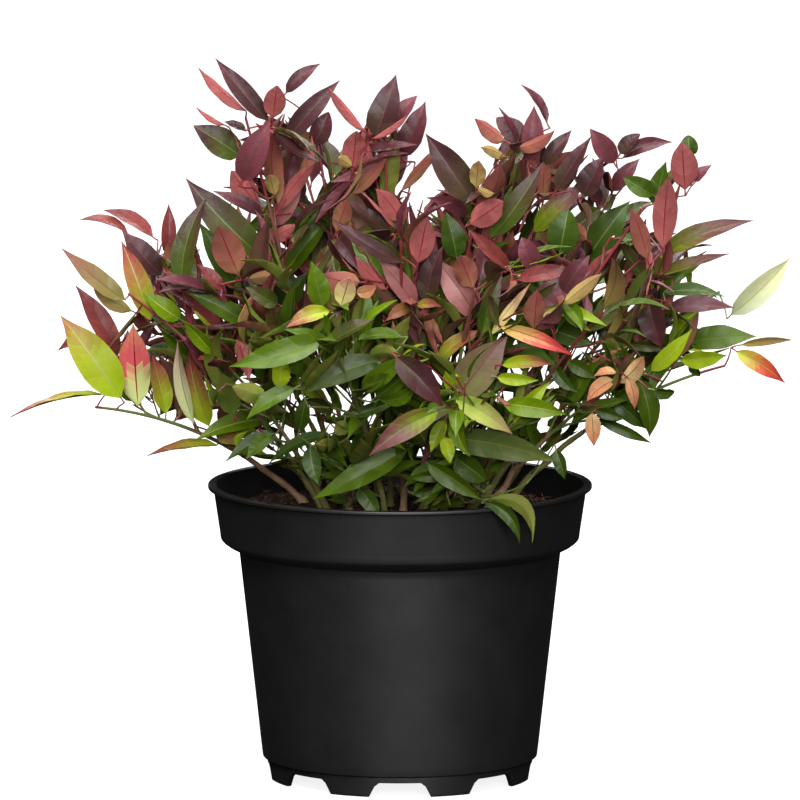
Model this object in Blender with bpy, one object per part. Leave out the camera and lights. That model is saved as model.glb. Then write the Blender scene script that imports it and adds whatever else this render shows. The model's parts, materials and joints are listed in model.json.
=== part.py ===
"""Potted leucothoe: a five-litre nursery pot, its root ball, the canes and their leafy shoots.

Metres, +Z up. The origin is the middle of the pot's foot, on the ground. The plant's widest
spread is along X, and its front, the side with the two low arms, looks along -Y.
"""
import math
import random
from collections import namedtuple

import bmesh
import bpy
from mathutils import Matrix, Vector
from mathutils.bvhtree import BVHTree

MM = 0.001
GAP = 0.3 * MM
MERGE = 0.01 * MM
SHARP_ANGLE = math.radians(30)

# Pot: a black moulded nursery pot, 230 mm across its lip.
POT_SIDES = 40
LIP_RADIUS = 115.3 * MM
LIP_TOP = 177.5 * MM
LIP_DEPTH = 2.2 * MM
COLLAR_TOP_RADIUS = 112.0 * MM
COLLAR_LOW_RADIUS = 107.8 * MM
COLLAR_LOW = 145.5 * MM
BODY_TOP_RADIUS = 96.7 * MM
BODY_TOP = 138.3 * MM
BODY_LOW_RADIUS = 82.7 * MM
BODY_LOW = 12.8 * MM
FOOT_TOP_RADIUS = 80.0 * MM
FOOT_RADIUS = 79.1 * MM
LIP_ROUND = 0.6 * MM
COLLAR_ROUND = 4.2 * MM
INNER_STEP = 1.5 * MM
LEDGE_STEP = 0.8 * MM
WALL = 2.0 * MM
FLOOR_TOP = 12.4 * MM
FLOOR_UNDER = 10.0 * MM
FOOT_WALL = 3.2 * MM
NOTCH_COUNT = 8
NOTCH_WIDTH = 37.0 * MM
NOTCH_TOP_WIDTH = 28.0 * MM
NOTCH_HEIGHT = 8.8 * MM
NOTCH_SPARE = 4.0 * MM

# Root ball: moist peat that fills the pot to a little below its lip.
SOIL_TOP = 162.5 * MM
SOIL_SLACK = 0.5 * MM

# Canes: woody stems, flared where they leave the peat.
CANE_SIDES = 5
CANE_RINGS = 5
CANE_FLARE_RADIUS = 3.6 * MM
CANE_FOOT_RADIUS = 2.6 * MM
CANE_TIP_RADIUS = 1.8 * MM
FLARE_SHARE = 0.12
PATH_POINTS = 33
HANDLE_SHARE = 0.36

# Shoots: green and red stems that carry the leaves.
TWIG_SIDES = 3
STEM_RADIUS = 1.6 * MM
STEM_TIP_RADIUS = 1.0 * MM
SIDE_RADIUS = 1.3 * MM
SIDE_TIP_RADIUS = 0.9 * MM
STEM_RINGS = 5
SIDE_RINGS = 3
SIDE_TWIG_ANGLE = math.radians(42)
SIDE_TWIG_LIFT = 0.35
SIDE_TWIG_PLACES = (0.06, 0.30, 0.54)
SIDE_TWIG_REACH = (0.55, 0.75)
FORK_SHARE = 0.12
GOLDEN_ANGLE = math.radians(137.5)

# Leaves: pointed, folded a little along the midrib.
LEAF_LENGTH = 58.0 * MM
LEAF_WIDTH = 22.5 * MM
LEAF_THICKNESS = 1.3 * MM
LEAF_SPREAD = 0.12
LEAF_STEP = 24.5 * MM
LEAF_ANGLE = math.radians(48)
LEAF_ANGLE_SPREAD = math.radians(14)
LEAF_FOLD = math.radians(20)
LEAF_FACES_UP = 0.7
WIDEST_SHARE = 0.42
RIB_SHARE = 0.22
TIP_LEAF_SHARE = 0.80
TIP_LEAF_STEP = 2.4 * MM
TIP_LEAF_ANGLES = (math.radians(6), math.radians(26))
LEAF_TURN = GOLDEN_ANGLE
LEAF_TRY_TURNS = (0.0, 0.6, -0.6, 1.3)
LEAF_TRY_SHRINK = 0.06
SIDE_TWIG_TRIES = 4
ROOT_SHARE = 0.14
CLEARANCE = 0.8 * MM

# The crown's furthest reach from the pot's axis, and its highest tip.
CROWN_HALF_WIDTH = 238.0 * MM
CROWN_HALF_DEPTH = 196.0 * MM
CROWN_TOP = 440.0 * MM
SOIL_CLEARANCE = 4.0 * MM
HANG_BELOW_LIP = 26.0 * MM

# The crown's underside beyond the lip: distance from the pot's axis and height, in millimetres.
UNDERSIDE = ((115, 193), (148, 198), (175, 225), (240, 218))

# Each shoot in millimetres: where its cane leaves the peat, the tips that it reaches, how far it
# arches over in degrees, the share of its length that is bare cane, how far its leaves reach, and
# how far they droop.
Shoot = namedtuple("Shoot", "name foot tips arch bare reach droop", defaults=(0.0,))
SHOOTS = (
    Shoot("left_arm", (-58, 22), ((-239, -20, 224),), 26, 0.30, 66),
    Shoot("left_shoulder", (-46, -8), ((-204, -30, 324), (-192, 44, 342)), 14, 0.28, 60),
    Shoot("left_high", (-30, -14), ((-140, -52, 358),), 8, 0.26, 56),
    Shoot("top_left_outer", (-38, 26), ((-104, -12, 444), (-114, 34, 424)), 2, 0.28, 52),
    Shoot("top_left_inner", (-20, 30), ((-60, 30, 440), (-38, 52, 426)), 2, 0.28, 54),
    Shoot("top_middle", (-6, 6), ((-9, -22, 436), (18, 18, 416)), 0, 0.26, 54),
    Shoot("top_right_inner", (14, -6), ((56, -44, 400),), 2, 0.26, 50),
    Shoot("top_right", (22, 16), ((80, 6, 424), (72, 46, 404)), 2, 0.28, 54),
    Shoot("right_high", (36, 4), ((122, -12, 398), (162, 34, 389)), 5, 0.26, 56),
    Shoot("right_upper", (42, -16), ((174, -40, 386),), 8, 0.28, 52),
    Shoot("right_shoulder", (50, 22), ((215, 18, 343),), 12, 0.30, 58),
    Shoot("right_arm_high", (58, 40), ((238, 62, 310),), 14, 0.32, 56),
    Shoot("right_arm", (62, 4), ((240, -24, 260),), 22, 0.32, 56),
    Shoot("right_low_arm", (50, -30), ((154, -96, 262), (140, -82, 230)), 16, 0.34, 50),
    Shoot("front_centre", (2, -26), ((0, -120, 376),), 8, 0.26, 56),
    Shoot("front_right", (20, -32), ((64, -120, 382), (100, -136, 320)), 8, 0.26, 56),
    Shoot("front_left", (-18, -36), ((-84, -118, 346),), 8, 0.26, 56),
    Shoot("left_middle", (-42, -30), ((-136, -114, 292), (-170, -66, 262)), 14, 0.28, 58),
    Shoot("low_front_left", (-8, -50), ((-48, -176, 300), (-84, -170, 250)), 14, 0.26, 58),
    Shoot("low_front_right", (24, -54), ((66, -178, 278), (24, -197, 262)), 14, 0.26, 58),
    Shoot("right_front", (40, -44), ((148, -132, 326), (194, -78, 300)), 12, 0.30, 56),
    Shoot("rim_left", (-30, -58), ((-28, -152, 222),), 16, 0.22, 50),
    Shoot("rim_right", (42, -52), ((60, -134, 200),), 16, 0.30, 54, 0.9),
    Shoot("back_left", (-40, 46), ((-158, 126, 326), (-198, 90, 262)), 12, 0.28, 60),
    Shoot("back_high_left", (-14, 50), ((-72, 124, 394), (-104, 186, 286)), 8, 0.26, 60),
    Shoot("back_middle", (2, 64), ((-4, 150, 358), (-14, 202, 256)), 12, 0.26, 60),
    Shoot("back_high_right", (20, 48), ((68, 124, 392), (92, 190, 282)), 8, 0.26, 60),
    Shoot("back_right", (44, 56), ((152, 130, 322), (192, 102, 256)), 12, 0.28, 60),
)

POT_COLOUR = (0.012, 0.012, 0.013)
PEAT_COLOUR = (0.045, 0.020, 0.013)
CANE_COLOUR = (0.30, 0.22, 0.11)
BURGUNDY = (0.16, 0.020, 0.030)
GREEN = (0.050, 0.13, 0.025)
GREEN_BELOW = 335 * MM


def clear_scene():
    for existing in list(bpy.data.objects):
        bpy.data.objects.remove(existing, do_unlink=True)


def plain_material(name, colour, roughness):
    material = bpy.data.materials.new(name)
    material.use_nodes = True
    shader = material.node_tree.nodes["Principled BSDF"]
    shader.inputs["Base Color"].default_value = (*colour, 1.0)
    shader.inputs["Roughness"].default_value = roughness
    shader.inputs["Metallic"].default_value = 0.0
    return material


def add_object(name, points, faces, material):
    mesh = bpy.data.meshes.new(name)
    mesh.from_pydata([tuple(point) for point in points], [], faces)
    mesh.materials.append(material)
    made = bpy.data.objects.new(name, mesh)
    bpy.context.scene.collection.objects.link(made)
    return made


def turned(name, profile, material):
    """Spin a profile of (radius, height) points, whose two ends lie on the axis, about Z."""
    build = bmesh.new()
    corners = [build.verts.new((radius, 0.0, height)) for radius, height in profile]
    for first, second in zip(corners, corners[1:]):
        build.edges.new((first, second))
    bmesh.ops.spin(build, geom=list(build.verts) + list(build.edges), axis=(0, 0, 1), cent=(0, 0, 0),
                   steps=POT_SIDES, angle=2.0 * math.pi, use_merge=True)
    bmesh.ops.remove_doubles(build, verts=list(build.verts), dist=MERGE)
    bmesh.ops.recalc_face_normals(build, faces=list(build.faces))
    mesh = bpy.data.meshes.new(name)
    build.to_mesh(mesh)
    build.free()
    mesh.materials.append(material)
    mesh.shade_smooth()
    mesh.set_sharp_from_angle(angle=SHARP_ANGLE)
    made = bpy.data.objects.new(name, mesh)
    bpy.context.scene.collection.objects.link(made)
    return made


def pot_profile():
    """The wall's section: the floor's top at the axis, up inside, over the lip and down outside."""
    foot_inner = FOOT_RADIUS - FOOT_WALL
    lip_low = LIP_TOP - LIP_DEPTH
    return (
        (0.0, FLOOR_TOP),
        (BODY_LOW_RADIUS - WALL, FLOOR_TOP),
        (BODY_TOP_RADIUS - WALL, BODY_TOP + INNER_STEP),
        (COLLAR_LOW_RADIUS - WALL, COLLAR_LOW + INNER_STEP),
        (COLLAR_TOP_RADIUS - WALL, LIP_TOP - LIP_ROUND / 2),
        (COLLAR_TOP_RADIUS - LIP_ROUND / 2, LIP_TOP),
        (LIP_RADIUS - LIP_ROUND, LIP_TOP - LIP_ROUND / 3),
        (LIP_RADIUS, LIP_TOP - LIP_ROUND * 2),
        (LIP_RADIUS - LIP_ROUND / 2, lip_low + LIP_ROUND),
        (COLLAR_TOP_RADIUS, lip_low),
        (COLLAR_LOW_RADIUS, COLLAR_LOW),
        (COLLAR_LOW_RADIUS - COLLAR_ROUND, COLLAR_LOW - COLLAR_ROUND),
        (BODY_TOP_RADIUS + COLLAR_ROUND / 2, BODY_TOP + COLLAR_ROUND / 4),
        (BODY_TOP_RADIUS, BODY_TOP),
        (BODY_LOW_RADIUS, BODY_LOW),
        (FOOT_TOP_RADIUS, BODY_LOW - LEDGE_STEP),
        (FOOT_RADIUS, 0.0),
        (foot_inner, 0.0),
        (foot_inner, FLOOR_UNDER),
        (0.0, FLOOR_UNDER),
    )


def notch_cutter(material):
    """Eight blocks round the foot ring, wider at the ground, joined in one cutter."""
    points = []
    faces = []
    inner = FOOT_RADIUS - FOOT_WALL - NOTCH_SPARE
    outer = FOOT_RADIUS + NOTCH_SPARE
    top_half = NOTCH_TOP_WIDTH / 2
    slope = (NOTCH_WIDTH - NOTCH_TOP_WIDTH) / 2 / NOTCH_HEIGHT
    low_half = top_half + slope * (NOTCH_HEIGHT + NOTCH_SPARE)
    for index in range(NOTCH_COUNT):
        turn = Matrix.Rotation(2.0 * math.pi * index / NOTCH_COUNT - math.pi / 2, 3, "Z")
        first = len(points)
        for radius in (inner, outer):
            for half, height in ((low_half, -NOTCH_SPARE), (top_half, NOTCH_HEIGHT)):
                points.append(turn @ Vector((radius, -half, height)))
                points.append(turn @ Vector((radius, half, height)))
        for face in ((0, 2, 3, 1), (4, 5, 7, 6), (0, 1, 5, 4), (2, 6, 7, 3), (0, 4, 6, 2), (1, 3, 7, 5)):
            faces.append([first + corner for corner in face])
    cutter = add_object("foot_notch_cutter", points, faces, material)
    cutter.hide_render = True
    cutter.display_type = "WIRE"
    return cutter


def make_pot():
    material = plain_material("pot_plastic", POT_COLOUR, 0.45)
    pot = turned("pot", pot_profile(), material)
    notches = pot.modifiers.new("foot_notches", "BOOLEAN")
    notches.operation = "DIFFERENCE"
    notches.solver = "EXACT"
    notches.object = notch_cutter(material)
    return pot


def wall_inside(height):
    """The radius of the pot's inner wall at a height."""
    inside = [(point[0], point[1]) for point in pot_profile()[1:5]]
    for (low_radius, low), (high_radius, high) in zip(inside, inside[1:]):
        if height <= high:
            share = (height - low) / (high - low)
            return low_radius + share * (high_radius - low_radius)
    return inside[-1][0]


def make_root_ball():
    heights = (FLOOR_TOP + GAP, BODY_TOP + INNER_STEP, COLLAR_LOW + INNER_STEP, SOIL_TOP)
    side = [(wall_inside(height) - SOIL_SLACK, height) for height in heights]
    profile = [(0.0, heights[0])] + side + [(0.0, heights[-1])]
    return turned("root_ball", profile, plain_material("peat", PEAT_COLOUR, 0.95))


def bezier(p0, p1, p2, p3, count):
    points = []
    for index in range(count):
        t = index / (count - 1)
        s = 1.0 - t
        points.append(p0 * s ** 3 + p1 * 3 * s * s * t + p2 * 3 * s * t * t + p3 * t ** 3)
    return points


def arching(start, end, arch_degrees):
    """A stem that starts steeper than its chord and ends flatter, by the arch angle."""
    chord = end - start
    level = Vector((chord.x, chord.y, 0.0))
    if level.length < 1.0 * MM:
        level = Vector((1.0, 0.0, 0.0))
    axis = level.normalized().cross(Vector((0, 0, 1)))
    arch = math.radians(arch_degrees)
    steep = Matrix.Rotation(arch, 3, axis) @ chord
    flat = Matrix.Rotation(-arch, 3, axis) @ chord
    return bezier(start, start + steep * HANDLE_SHARE, end - flat * HANDLE_SHARE, end, PATH_POINTS)


def lengths_along(points):
    total = [0.0]
    for first, second in zip(points, points[1:]):
        total.append(total[-1] + (second - first).length)
    return total


def point_at(points, distance):
    """The place and direction at a distance along a path."""
    total = lengths_along(points)
    for index in range(len(points) - 1):
        if distance <= total[index + 1] or index == len(points) - 2:
            span = total[index + 1] - total[index]
            share = (distance - total[index]) / span
            place = points[index].lerp(points[index + 1], share)
            return place, (points[index + 1] - points[index]).normalized()
    return points[-1], (points[-1] - points[-2]).normalized()


def part_of_path(points, start, end, count):
    return [point_at(points, start + (end - start) * index / (count - 1))[0] for index in range(count)]


def tube(points, radii, sides, flat_foot=False):
    """A closed tapering tube; its first ring lies level where it has a flat foot."""
    rings = []
    across = Vector((0.0, 1.0, 0.0))
    for index, place in enumerate(points):
        ahead = points[min(index + 1, len(points) - 1)] - points[max(index - 1, 0)]
        ahead.normalize()
        if flat_foot and index == 0:
            ahead = Vector((0.0, 0.0, 1.0))
        across = (across - ahead * across.dot(ahead)).normalized()
        other = ahead.cross(across)
        ring = []
        for side in range(sides):
            angle = 2.0 * math.pi * side / sides
            ring.append(place + (across * math.cos(angle) + other * math.sin(angle)) * radii[index])
        rings.append(ring)
    corners = [corner for ring in rings for corner in ring]
    faces = [tuple(reversed(range(sides)))]
    for index in range(len(points) - 1):
        low = index * sides
        for side in range(sides):
            after = (side + 1) % sides
            faces.append((low + side, low + after, low + sides + after, low + sides + side))
    faces.append(tuple(range(len(corners) - sides, len(corners))))
    return corners, faces


Leaf = namedtuple("Leaf", "base ahead upper length width")


def leaf_body(leaf, swell=0.0, start=0.0):
    """Eight faces: root, tip, two widest corners, and a midrib point on each side.

    A swell thickens it on every side for a clearance test, and a start above 0 leaves off that
    share of its root.
    """
    across = leaf.ahead.cross(leaf.upper).normalized()
    fold = math.tan(LEAF_FOLD) * leaf.width / 2
    thick = LEAF_THICKNESS / 2 + swell
    rib_share = max(RIB_SHARE, start + 0.1)
    widest = leaf.base + leaf.ahead * leaf.length * WIDEST_SHARE + leaf.upper * fold
    rib = leaf.base + leaf.ahead * leaf.length * rib_share
    half = leaf.width / 2 + swell
    points = [
        leaf.base + leaf.ahead * leaf.length * start,
        leaf.base + leaf.ahead * (leaf.length + swell),
        widest + across * half,
        widest - across * half,
        rib + leaf.upper * thick,
        rib - leaf.upper * thick,
    ]
    faces = [(0, 2, 4), (2, 1, 4), (1, 3, 4), (3, 0, 4), (2, 0, 5), (1, 2, 5), (3, 1, 5), (0, 3, 5)]
    return points, faces


class Obstacle:
    """A closed body that others keep clear of."""

    def __init__(self, owner, points, faces):
        self.owner = owner
        self.low = [min(point[axis] for point in points) for axis in range(3)]
        self.high = [max(point[axis] for point in points) for axis in range(3)]
        self.tree = BVHTree.FromPolygons([tuple(point) for point in points], faces)

    def near(self, other):
        return all(self.low[axis] <= other.high[axis] and other.low[axis] <= self.high[axis]
                   for axis in range(3))

    def touches(self, other):
        return self.near(other) and bool(self.tree.overlap(other.tree))


def body_of(made):
    """The evaluated mesh of an object, as points and faces."""
    bpy.context.view_layer.update()
    shown = made.evaluated_get(bpy.context.evaluated_depsgraph_get())
    mesh = shown.to_mesh()
    points = [made.matrix_world @ vertex.co for vertex in mesh.vertices]
    faces = [tuple(polygon.vertices) for polygon in mesh.polygons]
    shown.to_mesh_clear()
    return points, faces


class Mass:
    """One shoot: its cane, its leader, its forks and side twigs, and its leaves."""

    def __init__(self, shoot, seed):
        self.name = shoot.name
        self.shoot = shoot
        self.chance = random.Random(seed)
        self.foot = Vector((shoot.foot[0] * MM, shoot.foot[1] * MM, SOIL_TOP + GAP))
        self.tips = [Vector(tip) * MM for tip in shoot.tips]
        self.path = arching(self.foot, self.tips[0], shoot.arch)
        self.whole = lengths_along(self.path)[-1]
        self.bare = self.whole * shoot.bare
        self.twigs = []
        self.leaves = []

    def cane(self):
        """The bare foot of the shoot, with a flare where it leaves the peat."""
        shares = [0.0, FLARE_SHARE]
        shares += [index / (CANE_RINGS - 1) for index in range(1, CANE_RINGS)]
        points = [point_at(self.path, self.bare * share)[0] for share in shares]
        radii = [CANE_FOOT_RADIUS + (CANE_TIP_RADIUS - CANE_FOOT_RADIUS) * share for share in shares]
        radii[0] = CANE_FLARE_RADIUS
        return tube(points, radii, CANE_SIDES, flat_foot=True)

    def add_leader(self):
        """The stem meets its cane's tip a gap clear, and ends where the leaves at its tip begin."""
        end = self.whole - LEAF_LENGTH * TIP_LEAF_SHARE
        points = part_of_path(self.path, self.bare + GAP, end, STEM_RINGS)
        self.add_twig(points, STEM_RADIUS, STEM_TIP_RADIUS)

    def add_fork(self, tip, share):
        """A second leader that leaves the first one at a share of its length."""
        start, ahead = point_at(self.path, self.bare + (self.whole - self.bare) * share)
        chord = tip - start
        bend = start + ahead * chord.length * HANDLE_SHARE
        path = bezier(start, bend, tip - chord * HANDLE_SHARE, tip, PATH_POINTS)
        stop = chord.length - LEAF_LENGTH * TIP_LEAF_SHARE
        points = part_of_path(path, 0.0, stop, SIDE_RINGS + 1)
        self.add_twig(points, SIDE_RADIUS, SIDE_TIP_RADIUS)

    def add_twig(self, points, radius, tip_radius):
        count = len(points)
        radii = [radius + (tip_radius - radius) * index / (count - 1) for index in range(count)]
        self.twigs.append((points, radii))

    def side_twig(self, share, turn, length):
        """A side twig that leaves the leader at an angle and bends up."""
        stem_end = self.whole - LEAF_LENGTH * TIP_LEAF_SHARE
        start, ahead = point_at(self.path, self.bare + (stem_end - self.bare) * share)
        outward = radial(ahead, turn)
        way = ahead * math.cos(SIDE_TWIG_ANGLE) + outward * math.sin(SIDE_TWIG_ANGLE)
        lifted = (way + Vector((0, 0, SIDE_TWIG_LIFT))).normalized()
        middle = start + way * length / 2
        end = middle + lifted * length / 2
        return bezier(start, start.lerp(middle, HANDLE_SHARE), middle, end, SIDE_RINGS + 1)

    def distance_from_stem(self, place):
        """How far a place is from this shoot's own stems."""
        nearest = 1.0
        for points, _ in self.twigs:
            for first, second in zip(points, points[1:]):
                along = second - first
                share = max(0.0, min(1.0, (place - first).dot(along) / along.length_squared))
                nearest = min(nearest, (place - first - along * share).length)
        return nearest


def radial(ahead, turn):
    """A unit vector square to a direction, turned about it from the upward side."""
    up = Vector((0, 0, 1)) - ahead * ahead.z
    if up.length < 0.05:
        up = Vector((0, -1, 0)) - ahead * -ahead.y
    up.normalize()
    return up * math.cos(turn) + ahead.cross(up) * math.sin(turn)


def underside(radius, hangs):
    """How low the crown may reach at a distance from the axis; a hanging shoot passes the lip."""
    if radius < LIP_RADIUS:
        return SOIL_TOP + SOIL_CLEARANCE
    if hangs:
        return LIP_TOP - HANG_BELOW_LIP
    for (near, near_height), (far, far_height) in zip(UNDERSIDE, UNDERSIDE[1:]):
        if radius <= far * MM:
            share = (radius / MM - near) / (far - near)
            return (near_height + (far_height - near_height) * share) * MM
    return UNDERSIDE[-1][1] * MM


def inside_crown(points, hangs):
    """Within the crown's reach, and above its underside."""
    for point in points:
        if abs(point.x) > CROWN_HALF_WIDTH or abs(point.y) > CROWN_HALF_DEPTH or point.z > CROWN_TOP:
            return False
        if point.z < underside(math.hypot(point.x, point.y), hangs):
            return False
    return True


def leaf_on(mass, place, ahead, turn, length, angle):
    """A leaf that leaves its stem at an angle, with its upper side towards the stem's tip and up."""
    outward = radial(ahead, turn)
    way = ahead * math.cos(angle) + outward * math.sin(angle)
    way = (way - Vector((0, 0, mass.shoot.droop))).normalized()
    upper = ahead * math.sin(angle) - outward * math.cos(angle)
    upper = upper + Vector((0, 0, LEAF_FACES_UP))
    upper = (upper - way * upper.dot(way)).normalized()
    width = length * LEAF_WIDTH / LEAF_LENGTH
    return Leaf(place, way, upper, length, width)


def leaf_places(mass, twig_index):
    """Each place along a twig where a leaf grows: place, direction, turn, length and angle."""
    points, _ = mass.twigs[twig_index]
    length = lengths_along(points)[-1]
    count = max(1, int(length / LEAF_STEP))
    turn = mass.chance.uniform(0.0, 2.0 * math.pi)
    for index in range(count):
        place, ahead = point_at(points, length * (index + 0.5) / count)
        turn += LEAF_TURN
        size = LEAF_LENGTH * (1.0 + mass.chance.uniform(-LEAF_SPREAD, LEAF_SPREAD))
        yield place, ahead, turn, size, LEAF_ANGLE + mass.chance.uniform(-1, 1) * LEAF_ANGLE_SPREAD
    for index, angle in enumerate(TIP_LEAF_ANGLES):
        place, ahead = point_at(points, length - TIP_LEAF_STEP * (index + 0.3))
        turn += LEAF_TURN
        yield place, ahead, turn, LEAF_LENGTH * TIP_LEAF_SHARE, angle


def leaf_fits(mass, leaf, bodies):
    points, faces = leaf_body(leaf)
    if not inside_crown(points, mass.shoot.droop > 0):
        return False
    if mass.distance_from_stem(points[1]) > mass.shoot.reach * MM:
        return False
    whole = Obstacle(mass.name, *leaf_body(leaf, CLEARANCE))
    outer = Obstacle(mass.name, *leaf_body(leaf, CLEARANCE / 2, ROOT_SHARE))
    for body in bodies:
        if body.owner == mass.name:
            if outer.touches(body):
                return False
        elif whole.touches(body):
            return False
    return True


def grow_leaves(masses, bodies):
    """Leaves are dealt out to the shoots in turn, so that the crown fills evenly."""
    waiting = []
    for mass in masses:
        for twig_index in range(len(mass.twigs)):
            for order, place in enumerate(leaf_places(mass, twig_index)):
                waiting.append((order, mass, place))
    waiting.sort(key=lambda entry: entry[0])
    for _, mass, (place, ahead, turn, size, angle) in waiting:
        for attempt, shift in enumerate(LEAF_TRY_TURNS):
            length = size * (1.0 - LEAF_TRY_SHRINK * attempt)
            leaf = leaf_on(mass, place, ahead, turn + shift, length, angle)
            if leaf_fits(mass, leaf, bodies):
                mass.leaves.append(leaf)
                bodies.append(Obstacle(mass.name, *leaf_body(leaf)))
                break


def grow_side_twigs(masses, bodies):
    """Each leader's side twigs; one that leaves the crown or touches another shoot is turned on."""
    for mass in masses:
        turn = mass.chance.uniform(0.0, 2.0 * math.pi)
        others = [body for body in bodies if body.owner != mass.name]
        hangs = mass.shoot.droop > 0
        for share in SIDE_TWIG_PLACES:
            for _ in range(SIDE_TWIG_TRIES):
                turn += GOLDEN_ANGLE
                length = mass.shoot.reach * MM * mass.chance.uniform(*SIDE_TWIG_REACH)
                points = mass.side_twig(share, turn, length)
                radii = [SIDE_RADIUS + CLEARANCE] * len(points)
                swollen = Obstacle(mass.name, *tube(points, radii, TWIG_SIDES))
                if not inside_crown(points, hangs):
                    continue
                if not any(swollen.touches(body) for body in others):
                    mass.add_twig(points, SIDE_RADIUS, SIDE_TIP_RADIUS)
                    bodies.append(Obstacle(mass.name, *tube(*mass.twigs[-1], TWIG_SIDES)))
                    break


def islands_of(build):
    """The separate bodies in a mesh, each a set of vertices, smallest first."""
    unseen = set(build.verts)
    islands = []
    while unseen:
        waiting = [unseen.pop()]
        island = set(waiting)
        while waiting:
            vertex = waiting.pop()
            beside = {edge.other_vert(vertex) for edge in vertex.link_edges} - island
            island |= beside
            waiting.extend(beside)
        unseen -= island
        islands.append(island)
    return sorted(islands, key=len)


def keep_largest_body(mesh):
    """A loose scrap is dropped and a sealed hollow filled; says whether what is left is closed."""
    build = bmesh.new()
    build.from_mesh(mesh)
    bmesh.ops.triangulate(build, faces=list(build.faces))
    for island in islands_of(build)[:-1]:
        bmesh.ops.delete(build, geom=list(island), context="VERTS")
    build.to_mesh(mesh)
    closed = all(len(edge.link_faces) == 2 for edge in build.edges)
    build.free()
    return closed


def union_of(name, pieces, material, solver):
    """Join closed pieces into one object by a Boolean union on a collection."""
    base = add_object(name, *pieces[0], material)
    others = bpy.data.collections.new(name + "_pieces")
    bpy.context.scene.collection.children.link(others)
    for index, piece in enumerate(pieces[1:]):
        member = add_object(f"{name}_piece_{index}", *piece, material)
        bpy.context.scene.collection.objects.unlink(member)
        others.objects.link(member)
    union = base.modifiers.new("union", "BOOLEAN")
    union.operation = "UNION"
    union.operand_type = "COLLECTION"
    union.solver = solver
    union.collection = others
    bpy.context.view_layer.update()
    joined = bpy.data.meshes.new_from_object(base.evaluated_get(bpy.context.evaluated_depsgraph_get()))
    base.modifiers.clear()
    base.data = joined
    joined.name = name
    for member in list(others.objects):
        bpy.data.objects.remove(member, do_unlink=True)
    bpy.data.collections.remove(others)
    return base


def fuse(name, pieces, material):
    """Join a stem with its twigs and leaves into one closed body."""
    for solver in ("EXACT", "MANIFOLD"):
        fused = union_of(name, pieces, material, solver)
        if keep_largest_body(fused.data):
            fused.data.materials.clear()
            fused.data.materials.append(material)
            return fused
        bpy.data.objects.remove(fused, do_unlink=True)
    raise RuntimeError(name + " did not close")


def grow_stems(masses, bodies):
    """Each shoot's leader and forks, which have to stay clear of the other shoots."""
    for mass in masses:
        mass.add_leader()
        for number, tip in enumerate(mass.tips[1:], start=1):
            mass.add_fork(tip, FORK_SHARE * number)
        stems = [Obstacle(mass.name, *tube(*twig, TWIG_SIDES)) for twig in mass.twigs]
        for other in bodies:
            if any(other.touches(stem) for stem in stems):
                raise RuntimeError(f"the stem of {mass.name} touches {other.owner}")
        bodies.extend(stems)


def make_plant(pot, root_ball):
    bodies = [Obstacle("pot", *body_of(pot)), Obstacle("root_ball", *body_of(root_ball))]
    masses = [Mass(shoot, seed) for seed, shoot in enumerate(SHOOTS, start=1)]
    bark = plain_material("bark", CANE_COLOUR, 0.7)
    for mass in masses:
        points, faces = mass.cane()
        add_object("cane_" + mass.name, points, faces, bark)
        bodies.append(Obstacle("cane_" + mass.name, points, faces))
    grow_stems(masses, bodies)
    grow_side_twigs(masses, bodies)
    grow_leaves(masses, bodies)
    burgundy = plain_material("burgundy_leaves", BURGUNDY, 0.45)
    green = plain_material("green_leaves", GREEN, 0.45)
    for mass in masses:
        pieces = [tube(*twig, TWIG_SIDES) for twig in mass.twigs]
        pieces += [leaf_body(leaf) for leaf in mass.leaves]
        tint = burgundy if mass.tips[0].z > GREEN_BELOW else green
        fuse("foliage_" + mass.name, pieces, tint)


def main():
    clear_scene()
    pot = make_pot()
    root_ball = make_root_ball()
    make_plant(pot, root_ball)


main()
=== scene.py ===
"""Looks of the potted leucothoe: its leaves, twigs, bark, peat and moulded pot, in a plain studio."""

import itertools
import json
import math
import random
from collections import namedtuple

import bmesh
import bpy
import numpy as np
from mathutils import Matrix, Vector
from mathutils.bvhtree import BVHTree
from mathutils.kdtree import KDTree

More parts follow.
